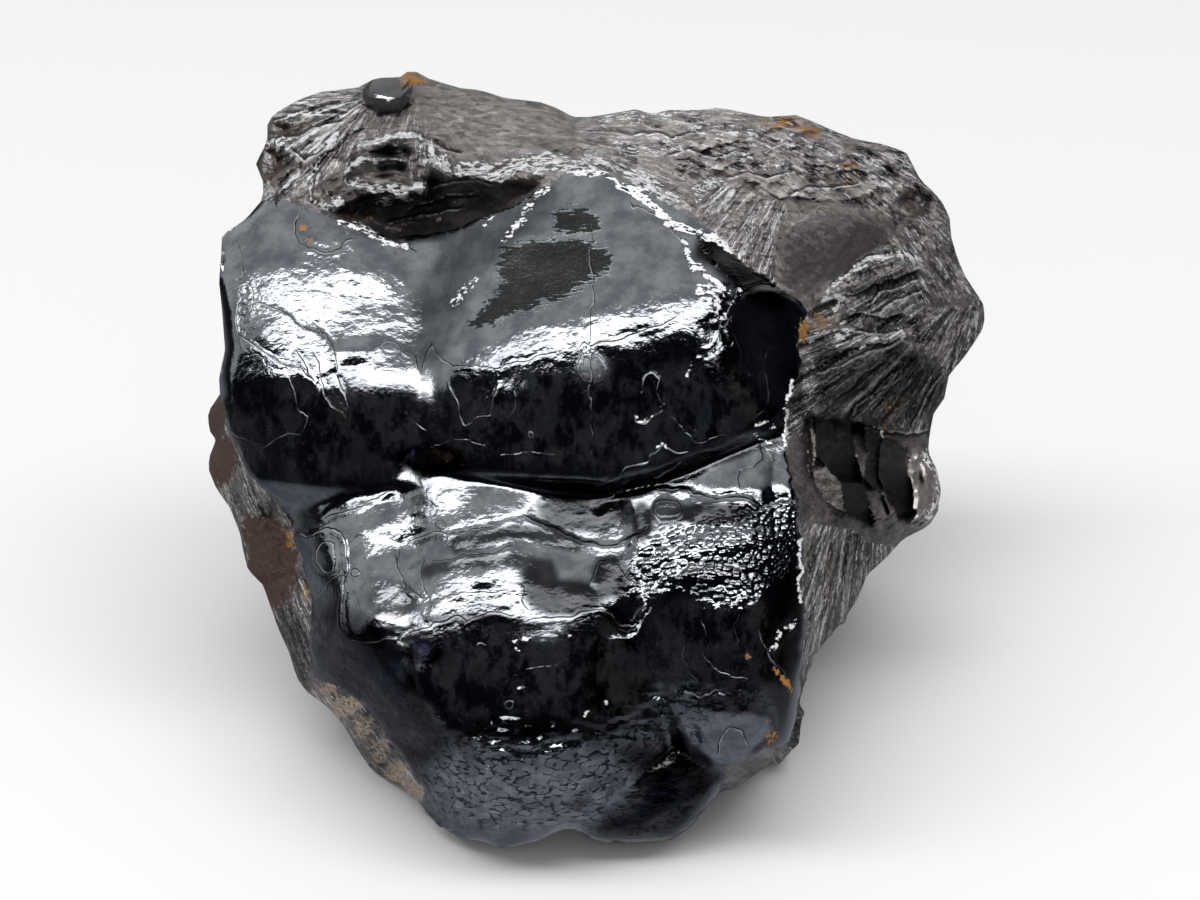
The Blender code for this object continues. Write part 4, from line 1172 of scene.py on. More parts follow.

# %% [markdown]
# The mineral isn't equally light everywhere: a bundle of needles is lighter or darker
# than the next, and so is a stretch of the skin.  One number a point, the tone,
# multiplies the colour.  Much of the tone is painted light and shade: the top of the
# break is made lighter, and its right face, the hollow under the lip and the pockets
# darker, and on the mirror skin it makes the reflections darker or lighter.  It could be
# left to noise, but then no bundle would be the right one, so the tone is laid on in soft
# ovals, lines and outlined patches.

# %% Tones and painted light: x, y, half width, half height, lightness (1 is the usual)
# Painted light and shade on the break: lighter on the top, darker on the right face, in
# the hollow under the lip and in the pockets.
BREAK_TONES_AND_PAINTED_LIGHT = [                   # on the break
    (865, 388, 105, 62, 0.18), (845, 580, 50, 70, 0.80),
    (835, 250, 60, 50, 0.80), (872, 290, 70, 40, 0.85), (945, 300, 45, 70, 0.75),
    (700, 150, 130, 50, 1.35), (780, 190, 80, 50, 1.15), (460, 128, 120, 36, 1.10),
    (320, 130, 70, 45, 1.20), (430, 214, 130, 32, 0.55), (270, 167, 24, 20, 0.45),
    (276, 131, 18, 9, 0.5), (392, 152, 30, 8, 0.2), (385, 180, 34, 12, 1.1),
    (262, 600, 45, 90, 0.62), (292, 655, 26, 56, 0.35), (916, 492, 28, 52, 1.45),
    (370, 750, 45, 60, 0.60), (915, 203, 24, 20, 0.5), (412, 230, 62, 15, 0.22),
    (890, 200, 34, 30, 1.4),
]
# Painted reflections: on the mirror skin these ovals make the reflections darker or
# lighter.
SKIN_TONES_AND_PAINTED_REFLECTIONS = [              # on the skin
    (655, 795, 92, 62, 0.14), (430, 459, 46, 20, 0.0), (424, 652, 26, 18, 0.02),
    (540, 582, 24, 30, 0.16), (612, 576, 25, 28, 0.12), (668, 512, 24, 18, 0.25),
    (465, 742, 13, 15, 0.3), (392, 600, 34, 22, 0.45), (584, 512, 64, 27, 0.14),
    (566, 598, 52, 24, 0.10), (470, 619, 60, 8, 0.3), (715, 514, 54, 15, 0.10),
    (772, 492, 9, 12, 2.5), (530, 785, 130, 56, 2.0), (728, 730, 66, 46, 0.40),
    (525, 727, 130, 14, 0.35), (642, 522, 13, 27, 0.12), (738, 572, 52, 20, 0.5),
    (700, 580, 30, 20, 0.6), (345, 668, 60, 66, 0.26), (600, 845, 120, 16, 0.5),
]
# Painted light and shade: bright lines along the step edges that catch the light, dark
# lines in their shelter.
BREAK_TONE_LINES_AND_PAINTED_LIGHT = [              # lightness, width, then the line, on the break
    (1.4, 9.0, [(828, 297), (848, 280), (880, 268), (922, 261)]),
    (1.1, 5.0, [(872, 306), (892, 294), (924, 283)]),
    (0.3, 6.0, [(855, 294), (880, 286), (896, 279), (915, 272)]),
    (0.4, 6.0, [(862, 310), (880, 300), (900, 291)]),
    (0.45, 9.0, [(868, 322), (905, 321)]),
    (1.1, 8.0, [(838, 340), (855, 340), (880, 339), (908, 334)]),
    (0.6, 5.0, [(812, 371), (845, 359), (880, 347), (908, 340)]),
    (0.4, 7.0, [(815, 385), (850, 368), (885, 352)]),
    (0.45, 5.0, [(845, 412), (870, 388), (895, 362)]),
    (0.35, 7.0, [(862, 422), (886, 392), (910, 364)]),
    (0.5, 5.0, [(905, 430), (918, 402), (936, 372)]),
    (1.45, 9.0, [(668, 204), (690, 218), (720, 238), (748, 262), (775, 288),
                 (802, 318)]),
    (0.85, 9.0, [(806, 330), (812, 400), (806, 440), (806, 520), (808, 600),
                 (806, 690)]),
]
# Painted reflections: these lines make the skin's reflections darker.
SKIN_TONE_LINES_AND_PAINTED_REFLECTIONS = [         # the same on the skin
    (0.22, 7.0, [(600, 499), (650, 489), (700, 469), (750, 448), (797, 436)]),
    (0.05, 22.0, [(708, 250), (724, 260), (746, 276), (772, 298)]),
    (0.16, 60.0, [(322, 640), (345, 672), (378, 706), (402, 742), (414, 775)]),
    (0.2, 13.0, [(458, 545), (490, 536), (530, 532), (575, 545)]),
    (0.25, 10.0, [(430, 571), (452, 565), (480, 561), (515, 561), (545, 568)]),
    (0.30, 20.0, [(543, 194), (505, 220), (472, 250), (450, 285), (438, 325), (430, 345)]),
    (0.50, 34.0, [(535, 200), (490, 232), (455, 268), (434, 305), (426, 345)]),
    (0.12, 32.0, [(795, 590), (794, 640), (792, 690)]),
]
FLAKES_WITH_PAINTED_REFLECTIONS = [                  # lightness, then the outline; the lightness makes the reflection there darker or lighter, as a painted reflection
    (1.5, [(676, 704), (700, 706), (716, 712), (742, 712), (768, 717), (771, 732),
           (756, 744), (744, 756), (722, 766), (704, 756), (692, 742), (682, 724)]),
    (0.28, [(342, 640), (366, 628), (398, 650), (424, 700), (436, 735), (418, 748),
            (396, 742), (366, 706), (346, 676)]),
    (0.30, [(772, 688), (806, 676), (806, 738), (796, 752), (784, 742), (778, 716)]),
    (0.45, [(570, 850), (578, 832), (640, 822), (684, 806), (716, 782), (732, 790),
            (704, 826), (670, 852)]),
]
print(len(BREAK_TONES_AND_PAINTED_LIGHT) + len(SKIN_TONES_AND_PAINTED_REFLECTIONS), "soft tones")

# %% [markdown]
# Last come the places where the shine differs: broken edges, crack lines and the bead,
# where glints are painted in as pale flecks on a darker ground, glassy places on the
# break, dull places on the skin, and the dark stretches of the skin, where a brown or
# blue reflection is painted in.

# %% Painted glints, shine, dullness and painted reflection tints
# Painted highlights: pale glints along these lines, on a ground darkened as painted shade;
# the break's relief is made stronger along them too.
PAINTED_GLINTS_AND_RELIEF = [                 # strength, width, then the line it follows
    (1.0, 12.0, [(425, 148), (432, 158), (450, 166), (475, 172), (500, 173), (520, 166),
                 (545, 160), (575, 166), (600, 168)]),
    (2.2, 2.6, [(380, 93), (386, 96), (391, 97)]),
    (0.7, 2.0, [(606, 637), (620, 636), (633, 631), (645, 616), (651, 607)]),
    (0.6, 2.0, [(627, 577), (639, 586), (645, 601), (640, 615)]),
    (1.6, 3.0, [(362, 144), (372, 141), (385, 138), (400, 136), (412, 136), (422, 141)]),
    (1.4, 4.0, [(347, 173), (355, 161), (365, 157), (374, 160)]),
    (1.2, 6.0, [(350, 184), (370, 187), (390, 188), (400, 192), (422, 188)]),
    (1.0, 4.0, [(380, 202), (400, 197), (410, 199)]),
    (1.9, 2.6, [(321, 172), (313, 182), (310, 190), (314, 199), (324, 206), (335, 208),
                (341, 204), (334, 200)]),
    (1.0, 9.0, [(588, 160), (610, 166), (635, 176), (655, 186), (672, 198)]),
    (0.5, 10.0, [(600, 122), (620, 116), (650, 118), (680, 114)]),
    (0.5, 15.0, [(680, 132), (705, 126), (730, 134), (760, 140), (790, 146)]),
    (0.4, 13.0, [(620, 146), (668, 148), (700, 158), (740, 160), (780, 168)]),
    (0.5, 16.0, [(800, 150), (840, 160), (875, 170)]),
    (0.8, 11.0, [(700, 188), (715, 186), (728, 196), (722, 206)]),
    (0.7, 8.0, [(700, 202), (712, 198)]),
    (0.45, 14.0, [(275, 112), (300, 108), (330, 108), (350, 106)]),
    (0.8, 13.0, [(270, 150), (300, 142), (330, 140)]),
    (0.7, 8.0, [(290, 186), (305, 172), (320, 160)]),
    (1.2, 3.0, [(822, 299), (834, 288), (846, 276), (866, 262)]),
    (0.8, 6.0, [(866, 262), (890, 257), (915, 256)]),
    (0.8, 6.0, [(845, 326), (855, 336), (862, 346)]),
    (0.6, 8.0, [(840, 342), (870, 340), (900, 334)]),
    (1.5, 2.0, [(830, 292), (842, 300), (834, 312)]),
    (2.0, 2.5, [(883, 432), (884, 435)]),
    (0.9, 4.0, [(925, 455), (936, 475), (938, 500), (928, 520)]),
    (1.6, 2.0, [(585, 169), (600, 175), (620, 183), (640, 188), (652, 193)]),
    (1.1, 5.0, [(630, 191), (648, 200), (660, 214), (672, 223), (688, 230)]),
    (1.4, 5.0, [(700, 232), (715, 237), (732, 249)]),
    (1.5, 3.5, [(683, 242), (688, 256), (692, 264), (705, 277), (722, 286)]),
    (1.3, 8.0, [(702, 292), (724, 291)]),
    (1.1, 5.0, [(714, 302), (718, 314), (724, 318)]),
    (1.2, 1.8, [(741, 286), (734, 302), (724, 320)]), (1.4, 2.6, [(721, 324), (719, 346)]),
    (0.9, 1.7, [(719, 346), (712, 355), (699, 358), (692, 368), (689, 379)]),
    (0.6, 1.4, [(636, 414), (639, 422), (650, 420), (662, 408)]),
    (0.9, 1.5, [(759, 426), (769, 425), (778, 429)]),
    (0.9, 1.5, [(756, 436), (766, 441), (778, 445)]),
    (0.5, 1.4, [(654, 447), (660, 443), (672, 450)]),
    (1.3, 2.6, [(513, 642), (527, 641)]), (1.2, 2.2, [(514, 651), (519, 651)]),
    (1.1, 2.2, [(567, 636), (573, 635)]), (0.9, 1.8, [(519, 687), (525, 686)]),
    (1.0, 2.0, [(582, 716), (586, 712)]), (0.8, 1.8, [(604, 703), (607, 700)]),
    (1.1, 4.5, [(340, 222), (360, 227), (375, 234), (390, 241), (408, 247)]),
    (1.0, 3.0, [(485, 224), (492, 218)]),
    (1.0, 4.0, [(477, 281), (465, 292), (452, 304)]),
    (1.0, 3.5, [(505, 240), (518, 222), (530, 206), (548, 187)]),
    (1.5, 2.4, [(799, 538), (801, 570), (800, 602)]),
    (1.3, 3.0, [(792, 380), (788, 410), (786, 446)]),
    (1.0, 2.6, [(769, 649), (780, 634), (795, 621)]),
]
SHINY = [                   # where the break is glassy, and how much
    (440, 212, 130, 32, 1.0), (392, 150, 30, 10, 0.8), (870, 470, 80, 62, 0.9),
    (875, 320, 34, 10, 0.8), (268, 158, 22, 20, 0.8), (222, 440, 20, 50, 0.8),
    (272, 130, 16, 9, 0.8), (825, 245, 44, 36, 0.6),
]
DULL = [                    # where the mirror has gone dull, and how much
    (592, 369, 15, 14, 0.8), (462, 262, 34, 60, 0.45), (430, 350, 14, 16, 0.5),
    (652, 665, 15, 80, 0.45), (425, 420, 26, 60, 0.25), (532, 434, 5, 5, 0.6),
    (735, 745, 18, 16, 0.3), (760, 342, 18, 36, 0.4), (575, 505, 60, 8, 0.4),
    (690, 455, 60, 16, 0.15),
]
PAINTED_REFLECTION_TINTS = [                  # where the black bands carry a painted brown or blue reflection tint
    (330, 430, 100, 45, 0.9), (600, 415, 170, 50, 0.9), (480, 665, 110, 50, 1.0),
    (610, 680, 90, 50, 0.9), (730, 655, 80, 55, 0.9), (390, 690, 50, 50, 1.0),
    (640, 800, 90, 40, 0.8),
]
print(len(PAINTED_GLINTS_AND_RELIEF), "lines of glints")

# %% [markdown]
# The tables become numbers at the points.  Ovals fade out softly, lines and outlines
# follow the same wandering as the cracks, and the tone lines of the break stay off the
# skin.

# %% From the tables to the points
def oval(cx, cy, rx, ry):
    """How far each point is from the middle of an oval, whose edge is at 1."""
    return np.hypot((px - cx) / rx, (py - cy) / ry)


def blots(spots):
    """The strongest of some soft spots at each point, out to one and a half ovals."""
    total = np.zeros(len(px))
    for cx, cy, rx, ry, strong in spots:
        faded = np.clip(1.5 - oval(cx, cy, rx, ry), 0.0, 1.0)
        total = np.maximum(total, strong * faded)
    return np.where(front, total, 0.0)


def on_line(wide, line):
    """1 along a line and 0 beyond its width."""
    gap = np.abs(to_segments(line, wander_x, wander_y)[0])
    return smooth_step(wide, 0.4 * wide, gap)


def toned(light, share):
    """The tone so far, brought towards a lightness by this share; the tone carries painted
    light and shade too.
    """
    return tone_and_painted_light + (light - tone_and_painted_light) * share


glossy = skin_reach > 0.0
tone_and_painted_light = np.ones(len(px))
for *spot, light in BREAK_TONES_AND_PAINTED_LIGHT:
    tone_and_painted_light = toned(light, np.where(front, smooth_step(1.0, 0.6, oval(*spot)), 0.0))
for group, ground in ((BREAK_TONE_LINES_AND_PAINTED_LIGHT, ~glossy), (SKIN_TONE_LINES_AND_PAINTED_REFLECTIONS, glossy)):
    for light, wide, line in group:
        tone_and_painted_light = toned(light, on_line(wide, line) * ground * front)
# Painted light and shade: each facet's lightness.
tone_and_painted_light = np.where(front, tone_and_painted_light * (1.0 + faceted * (slopes[facet, 2] - 1.0)), tone_and_painted_light)
for *spot, light in SKIN_TONES_AND_PAINTED_REFLECTIONS:
    tone_and_painted_light = toned(light, smooth_step(1.0, 0.6, oval(*spot)) * glossy)
for light, outline in FLAKES_WITH_PAINTED_REFLECTIONS:
    tone_and_painted_light = toned(light, patch(outline, 2.0))
painted_glints_and_relief = np.zeros(len(px))
for strong, wide, line in PAINTED_GLINTS_AND_RELIEF:
    painted_glints_and_relief = np.maximum(painted_glints_and_relief, strong * on_line(wide, line) * front)
dark_patch = np.max([inside_by(one, px, py) for one in DARK_PATCHES], axis=0)
gloss = np.maximum(skin_reach, 20.0 * np.clip(bead + 0.05, -1.0, 0.5))
print("tones from", round(float(tone_and_painted_light.min()), 2), "to", round(float(tone_and_painted_light.max()), 2))

# %% [markdown]
# A mesh takes a whole attribute in one call, as one row of numbers.

# %% Write the attributes
def write(name, values):
    """One attribute of the mesh: a number or a direction at each point."""
    kind, field = (("FLOAT", "value"), ("FLOAT_VECTOR", "vector"))[np.ndim(values) - 1]
    made = mesh.attributes.new(name, kind, "POINT")
    made.data.foreach_set(field, np.asarray(values, dtype=np.float32).ravel())


REACH = 20.0                # squares, the furthest distance worth writing down
on_break = front & ~glossy
written = {
    "gloss": np.clip(gloss, -REACH, REACH),
    "fibre": fibre / 10.0,
    "line_side": np.where(on_break, edge_side, np.clip(line_side, -NO_LINE, NO_LINE)),
    "line_step": np.where(on_break, edge_step, line_step) * front,
    "tone_and_painted_light": tone_and_painted_light,
    "relief": np.where(front, break_relief + 0.10 * np.clip(carved, -2, 1),
                       0.5 * back_relief),
    "splinter": np.where(front, rough * fans[fan, 4], 0.45),
    "bead": np.where(front, np.clip(bead, -1, 1), -1.0),
    "painted_glints_and_relief": painted_glints_and_relief,
    "shiny": np.clip(blots(SHINY) + (0.8 * wedge + faceted) * front, 0, 1),
    "dull": blots(DULL),
    "ochre": blots(OCHRE),
    "crust": blots(CRUST) * (skin_reach < 2.0),
    "brown": blots(BROWN),
    "dark_patch": np.clip(dark_patch, -REACH, REACH),
    "streaked": np.maximum(streaked, 0.6 * rumpled),
    "pebbled": pebbled,
    "pitted": pitted,
    "painted_reflection_tints": blots(PAINTED_REFLECTION_TINTS),
}
for name, values in written.items():
    write(name, values)
print("attributes:", ", ".join(written))

# %% [markdown]
# ## The finish
#
# Hematite conducts a little, so its skin reflects like a dark metal: a quarter of
# the light, with hardly any colour under it.  A metallic shader with a dark grey
# base gives just that.  The break is the same mineral, but its needles scatter the
# light, so it is rougher and browner.  One material holds both, and the attributes
# say where each begins, so there is no seam between two meshes.

# %% The material, nodes and sums
def node(kind, inputs=(), **settings):
    """A node in the tree at hand, with each input set to a value or linked."""
    made = tree.nodes.new("ShaderNode" + kind)
    for name, value in settings.items():
        setattr(made, name, value)
    for key, value in dict(inputs).items():
        if isinstance(value, bpy.types.NodeSocket):
            tree.links.new(value, made.inputs[key])
        else:
            made.inputs[key].default_value = value
    return made


def maths(operation, *values):
    return node("Math", dict(enumerate(values)), operation=operation).outputs[0]


def folded(operation, values):
    total = values[0]
    for value in values[1:]:
        total = maths(operation, total, value)
    return total


def add(*values):
    return folded("ADD", values)


def times(*values):
    return folded("MULTIPLY", values)


def less(value):
    """One less a mask, which turns it round."""
    return add(1.0, times(value, -1.0))


def swing(value, size):
    """Noise that swings round zero instead of round a half."""
    return times(add(value, -0.5), size)


finish = bpy.data.materials.new("kidney_ore")
finish.use_nodes = True
tree = finish.node_tree
shader = tree.nodes["Principled BSDF"]
print("shader inputs:", len(shader.inputs))

# %% [markdown]
# Three things are done to a mask again and again: it is ramped from one value to
# another, it mixes two finishes, and it lays one finish over the last.

# %% Ramps and layers
def ramp(value, low, high, start=0.0, end=1.0):
    """Brings low..high smoothly to start..end, and holds it beyond them."""
    made = node("MapRange", {0: value, 1: low, 2: high, 3: start, 4: end},
                interpolation_type="SMOOTHSTEP")
    return made.outputs[0]


def mixed(amount, a, b):
    """Two numbers or two colours, mixed."""
    colour = isinstance(b, tuple) or getattr(b, "type", "") == "RGBA"
    slots = (0, 6, 7) if colour else (0, 2, 3)
    made = node("Mix", dict(zip(slots, (amount, a, b))),
                data_type="RGBA" if colour else "FLOAT")
    return made.outputs[2 if colour else 0]


def layered(base, layers):
    """Lays colours or numbers over a base, each as far as its mask says."""
    for mask, over in layers:
        base = mixed(mask, base, over)
    return base


print("helpers for masks:", ", ".join(one.__name__ for one in (ramp, mixed, layered)))

# %% [markdown]
# Noise gives the soft mottles and streaks, and cells give plates, pebbles and scales.
# Both read the stone's own place in millimetres, turned to face the line of sight,
# or the direction of the fibres that was written on the points.

# %% Textures
def vectors(operation, a, b):
    return node("VectorMath", {0: a, 1: b}, operation=operation).outputs


def scaled(vector, x, y, z):
    return vectors("MULTIPLY", vector, (x, y, z))[0]


def dimmed(colour, amount):
    return node("VectorMath", {0: colour, "Scale": amount}, operation="SCALE").outputs[0]


def noise(vector, scale, detail=2.0, rough=0.5, output=0):
    made = node("TexNoise", {"Vector": vector, "Scale": scale, "Detail": detail,
                             "Roughness": rough})
    return made.outputs[output]


def cells(vector, scale, feature="F1", output="Distance"):
    made = node("TexVoronoi", {"Vector": vector, "Scale": scale}, feature=feature)
    return made.outputs[output]


def cell_tone(vector, scale):
    """One random value to a cell."""
    return node("SeparateColor", {0: cells(vector, scale, output="Color")}).outputs[0]


def chipped(vector, scale):
    """Small plates tilted at random, as a height."""
    seat = node("TexVoronoi", {"Vector": vector, "Scale": scale}).outputs
    away = vectors("SUBTRACT", vector, seat["Position"])[0]
    tilt = vectors("SUBTRACT", seat["Color"], (0.5, 0.5, 0.5))[0]
    return vectors("DOT_PRODUCT", away, tilt)["Value"]


def known(name, output="Fac"):
    return node("Attribute", attribute_name=name).outputs[output]


place_3d = node("TexCoord").outputs["Object"]
sight = node("Mapping", {"Vector": place_3d, "Rotation": (SIGHT_PITCH - math.pi / 2, 0, 0),
                         "Scale": (1000.0, 1000.0, 1000.0)}).outputs[0]
print("nodes so far:", len(tree.nodes))

# %% [markdown]
# ### Masks
#
# The edge of the skin is torn, so a little noise is added to its distance before it
# is cut to a mask.  The ochre, crust and brown spots are broken up by noise at
# several sizes, because iron oxide powders the low places first.

# %% Where each finish lies
ragged = add(swing(noise(sight, 1.2, 3.0), 9.0), swing(noise(sight, 5.0), 3.0))
skin = ramp(add(known("gloss"), times(ragged, 0.35)), -0.8, 0.6)
brushed = add(swing(noise(scaled(sight, 0.5, 2.2, 1.0), 1.3, 4.0), 34.0), ragged)
torn = ramp(add(known("dark_patch"), brushed), -1.0, 2.5)
speck = noise(sight, 3.2, 5.0, 0.7)
blobs = noise(sight, 0.9, 3.0, 0.6)


def powdered(name, fine_share, coarse_share, low, high):
    """A stain broken up at two sizes, and none at all where its attribute is 0."""
    uneven = add(known(name), swing(speck, fine_share), swing(blobs, coarse_share))
    return times(ramp(uneven, low, high), ramp(known(name), 0.02, 0.25))


ochre = powdered("ochre", 2.0, 2.4, 0.62, 0.95)
crust = powdered("crust", 3.4, 3.0, 0.45, 0.65)
brown = ramp(add(known("brown"), swing(noise(sight, 1.4, 3.0), 1.2)), 0.25, 0.6)
side, lift = known("line_side"), known("line_step")
crack = times(ramp(maths("ABSOLUTE", side), 0.8, 0.2), ramp(lift, 0.02, 0.15))
# lit is a painted highlight: a pale line along the raised side of a crack.
lit = times(ramp(side, 0.3, 0.8), ramp(side, 1.9, 1.2), ramp(lift, 0.04, 0.25), skin,
            ramp(noise(sight, 0.5, 3.0), 0.35, 0.6))
print("masks:", len(tree.nodes), "nodes so far")

# %% [markdown]
# ### Skin
#
# The mirror has a faint mottle and hairline dark cracks, and along the raised side of a
# crack a pale line is painted as a highlight.  In two ragged patches the skin is darker
# and duller.  Towards the bottom it is crazed into small scales with long pits.  In the
# dark stretches a brown or blue tint is painted in as a coloured reflection, because a
# mirror has no colour of its own there.

# %% The skin's colour
GAP_DARK = (0.02, 0.02, 0.022, 1.0)
SCALE_SIZE = 0.75           # scales to a millimetre
mottle = noise(sight, 0.35, 4.0, 0.6)
long_pits = cells(scaled(sight, 0.55, 1.9, 1.0), 0.9)
pit_holes = times(ramp(long_pits, 0.34, 0.18), known("pitted"),
                  ramp(noise(sight, 0.6, 3.0), 0.42, 0.55))
drift = noise(sight, 1.1, 3.0, output="Color")
scales = vectors("ADD", scaled(sight, 0.8, 1.5, 1.0), scaled(drift, 0.9, 0.9, 0.9))[0]
crazed = times(ramp(cells(scales, SCALE_SIZE, "DISTANCE_TO_EDGE"), 0.12, 0.03),
               known("pitted"), ramp(noise(sight, 1.1, 3.0), 0.42, 0.58))
skin_colour = mixed(ramp(mottle, 0.3, 0.7), (0.17, 0.18, 0.20, 1.0),
                    (0.34, 0.35, 0.37, 1.0))
# The pale layer under lit is a painted highlight; the cracks, scales and pits are the
# skin's own marks.
skin_colour = layered(skin_colour, (
    (times(torn, 0.92), (0.022, 0.023, 0.021, 1.0)),
    (times(crack, 0.8), GAP_DARK),
    (times(cell_tone(scales, SCALE_SIZE), known("pitted"), 0.5),
     (0.07, 0.072, 0.08, 1.0)),
    (times(crazed, 0.95), GAP_DARK),
    (times(pit_holes, 0.95), (0.03, 0.03, 0.032, 1.0)),
    (times(lit, 0.7), (0.50, 0.51, 0.53, 1.0))))
# Painted reflections: the tone makes the mirror darker or lighter, and with it the
# reflections.
skin_colour = dimmed(skin_colour, mixed(skin, 1.0, known("tone_and_painted_light")))
# Painted reflection: in the dark bands a brown or blue tint stands in for coloured
# reflections.
wisps = noise(scaled(sight, 1.2, 0.7, 1.0), 0.35, 5.0, 0.7)
painted_reflection_tint = times(ramp(wisps, 0.42, 0.70), ramp(known("painted_reflection_tints"), 0.1, 0.8), less(lit))
painted_reflection_tint_colour = mixed(ramp(noise(sight, 0.12), 0.42, 0.58),
                    (0.026, 0.018, 0.014, 1.0), (0.009, 0.012, 0.044, 1.0))
skin_colour = mixed(times(painted_reflection_tint, 0.85), skin_colour, painted_reflection_tint_colour)
print("skin colour:", len(tree.nodes), "nodes so far")

# %% The skin's shine and fine height
fine = noise(sight, 2.5, 4.0, 0.6)
hammer = noise(scaled(sight, 0.8, 1.0, 1.0), 1.0, 3.0)
pebble = cells(sight, 1.3)
skin_rough = add(0.05, times(lit, 0.3), times(ramp(fine, 0.45, 0.75), 0.10),
                 times(torn, 0.16), times(known("pitted"), 0.10),
                 times(known("streaked"), 0.05), times(known("dull"), 0.30),
                 times(painted_reflection_tint, 0.06))
skin_height = add(              # in mm
    times(fine, 0.02), times(hammer, 0.03), times(known("streaked"), hammer, 0.11),
    times(noise(sight, 9.0), 0.004),
    times(pit_holes, -0.05), times(crazed, -0.025), times(crack, -0.02),
    times(lift, ramp(side, -0.7, 0.7, -0.15, 0.15)),
    times(known("pitted"), chipped(scales, SCALE_SIZE), 0.12),
    times(known("pebbled"), add(times(pebble, -0.17),
                                ramp(pebble, 0.36, 0.60, 0.0, -0.07))),
    times(torn, fine, 0.03))
print("skin:", len(tree.nodes), "nodes so far")

# %% [markdown]
# ### Break
#
# Along the fibres the break is drawn out into fine bright and dark streaks, slivers
# and whole bundles, each a little lighter or darker than the next.  The colour
# follows the same streaks as the height as painted light and shade: lighter on the
# ridges and high chips, darker in the grooves and low places.

# %% The patterns of the break
SLIVER_SIZE, BUNDLE_SIZE, FLAKE_SIZE = 2.4, 0.7, 1.1
fibres = vectors("ADD", known("fibre", "Vector"), scaled(drift, 0.35, 0.35, 0.6))[0]
streak = noise(fibres, 2.2, 4.0, 0.65)
hairs = noise(scaled(fibres, 3.0, 3.0, 1.0), 3.0, 3.0, 0.6)
blotch = noise(sight, 0.6, 4.0, 0.6)
slivers, sliver_tone = chipped(fibres, SLIVER_SIZE), cell_tone(fibres, SLIVER_SIZE)
bundle_tone = cell_tone(fibres, BUNDLE_SIZE)
wide_places = scaled(sight, 0.7, 1.5, 1.0)
flakes, flake_tone = chipped(wide_places, FLAKE_SIZE), cell_tone(wide_places, FLAKE_SIZE)
splintery = ramp(known("splinter"), 0.25, 0.8)
shiny, painted_glint_and_relief_mask = known("shiny"), known("painted_glints_and_relief")
drawn_out = swing(ramp(streak, 0.38, 0.62), add(0.2, times(splintery, 0.4)))
# glint is a painted highlight on the finest hairs; edge is a painted highlight on the
# raised side of a step, and shade is painted shade on its lower side.
glint = times(ramp(add(hairs, times(streak, 0.6)), 0.84, 0.95),
              ramp(known("splinter"), 0.1, 0.4))
edge = times(ramp(side, -0.3, 0.4), ramp(side, 2.8, 1.2), ramp(lift, 0.2, 0.9),
             ramp(noise(sight, 1.6, 3.0), 0.35, 0.6))
shade = times(ramp(side, 0.3, -0.4), ramp(side, -5.0, -1.5), ramp(lift, 0.2, 0.9))
print("patterns of the break:", len(tree.nodes), "nodes so far")

# %% The break's colour, shine and fine height
# Painted light and shade: the break is lighter where its relief stands high and darker
# where it is low, down to nearly black in the deepest places.
lightness = add(0.20, drawn_out, times(blotch, 0.15), times(known("relief"), 0.4),
                times(flake_tone, add(1.0, times(shiny, -0.8)), 0.35),
                times(add(bundle_tone, -0.5), splintery, 0.45))
break_colour = mixed(lightness, (0.088, 0.077, 0.073, 1.0), (0.49, 0.45, 0.435, 1.0))
break_colour = layered(break_colour, (
    (times(ramp(sliver_tone, 0.80, 0.92), splintery, 0.45), (0.60, 0.57, 0.56, 1.0)),
    (times(ramp(sliver_tone, 0.36, 0.26), splintery, 0.7), (0.035, 0.032, 0.031, 1.0)),
    (ramp(known("relief"), -0.15, -0.8, 0.0, 0.8), (0.025, 0.021, 0.020, 1.0)),
    (times(glint, 0.8), (0.85, 0.85, 0.86, 1.0)),
    (times(shade, 0.85), (0.02, 0.018, 0.018, 1.0)),
    (times(edge, 0.8), (0.80, 0.80, 0.81, 1.0))))
# The tone, with its painted light and shade, dims the break.
break_colour = dimmed(break_colour, known("tone_and_painted_light"))
break_rough = add(0.36, times(blotch, 0.22), times(glint, -0.10), times(shiny, -0.24))
break_height = add(             # in mm
    times(streak, 0.10), times(hairs, 0.06), times(flakes, 1.1),
    times(chipped(sight, 3.0), 0.6), times(slivers, known("splinter"), 1.4),
    times(noise(sight, 3.0, 6.0, 0.7), 0.22))
break_height = times(break_height, add(0.85, times(painted_glint_and_relief_mask, 0.7), times(shiny, -0.65)))
print("break:", len(tree.nodes), "nodes so far")

# %% [markdown]
# ### Stains, glints and the shader
#
# Over both lie the bead, the glints and the stains.  A glint is a tiny cleavage face
# that happens to meet the light; here it is a painted highlight, pale and half dull,
# because a true mirror of that size would flicker from one view to the next.  Stains
# are powder, with no shine.

# %% Stains over both, and the shader
on_bead = ramp(known("bead"), -0.05, 0.02)
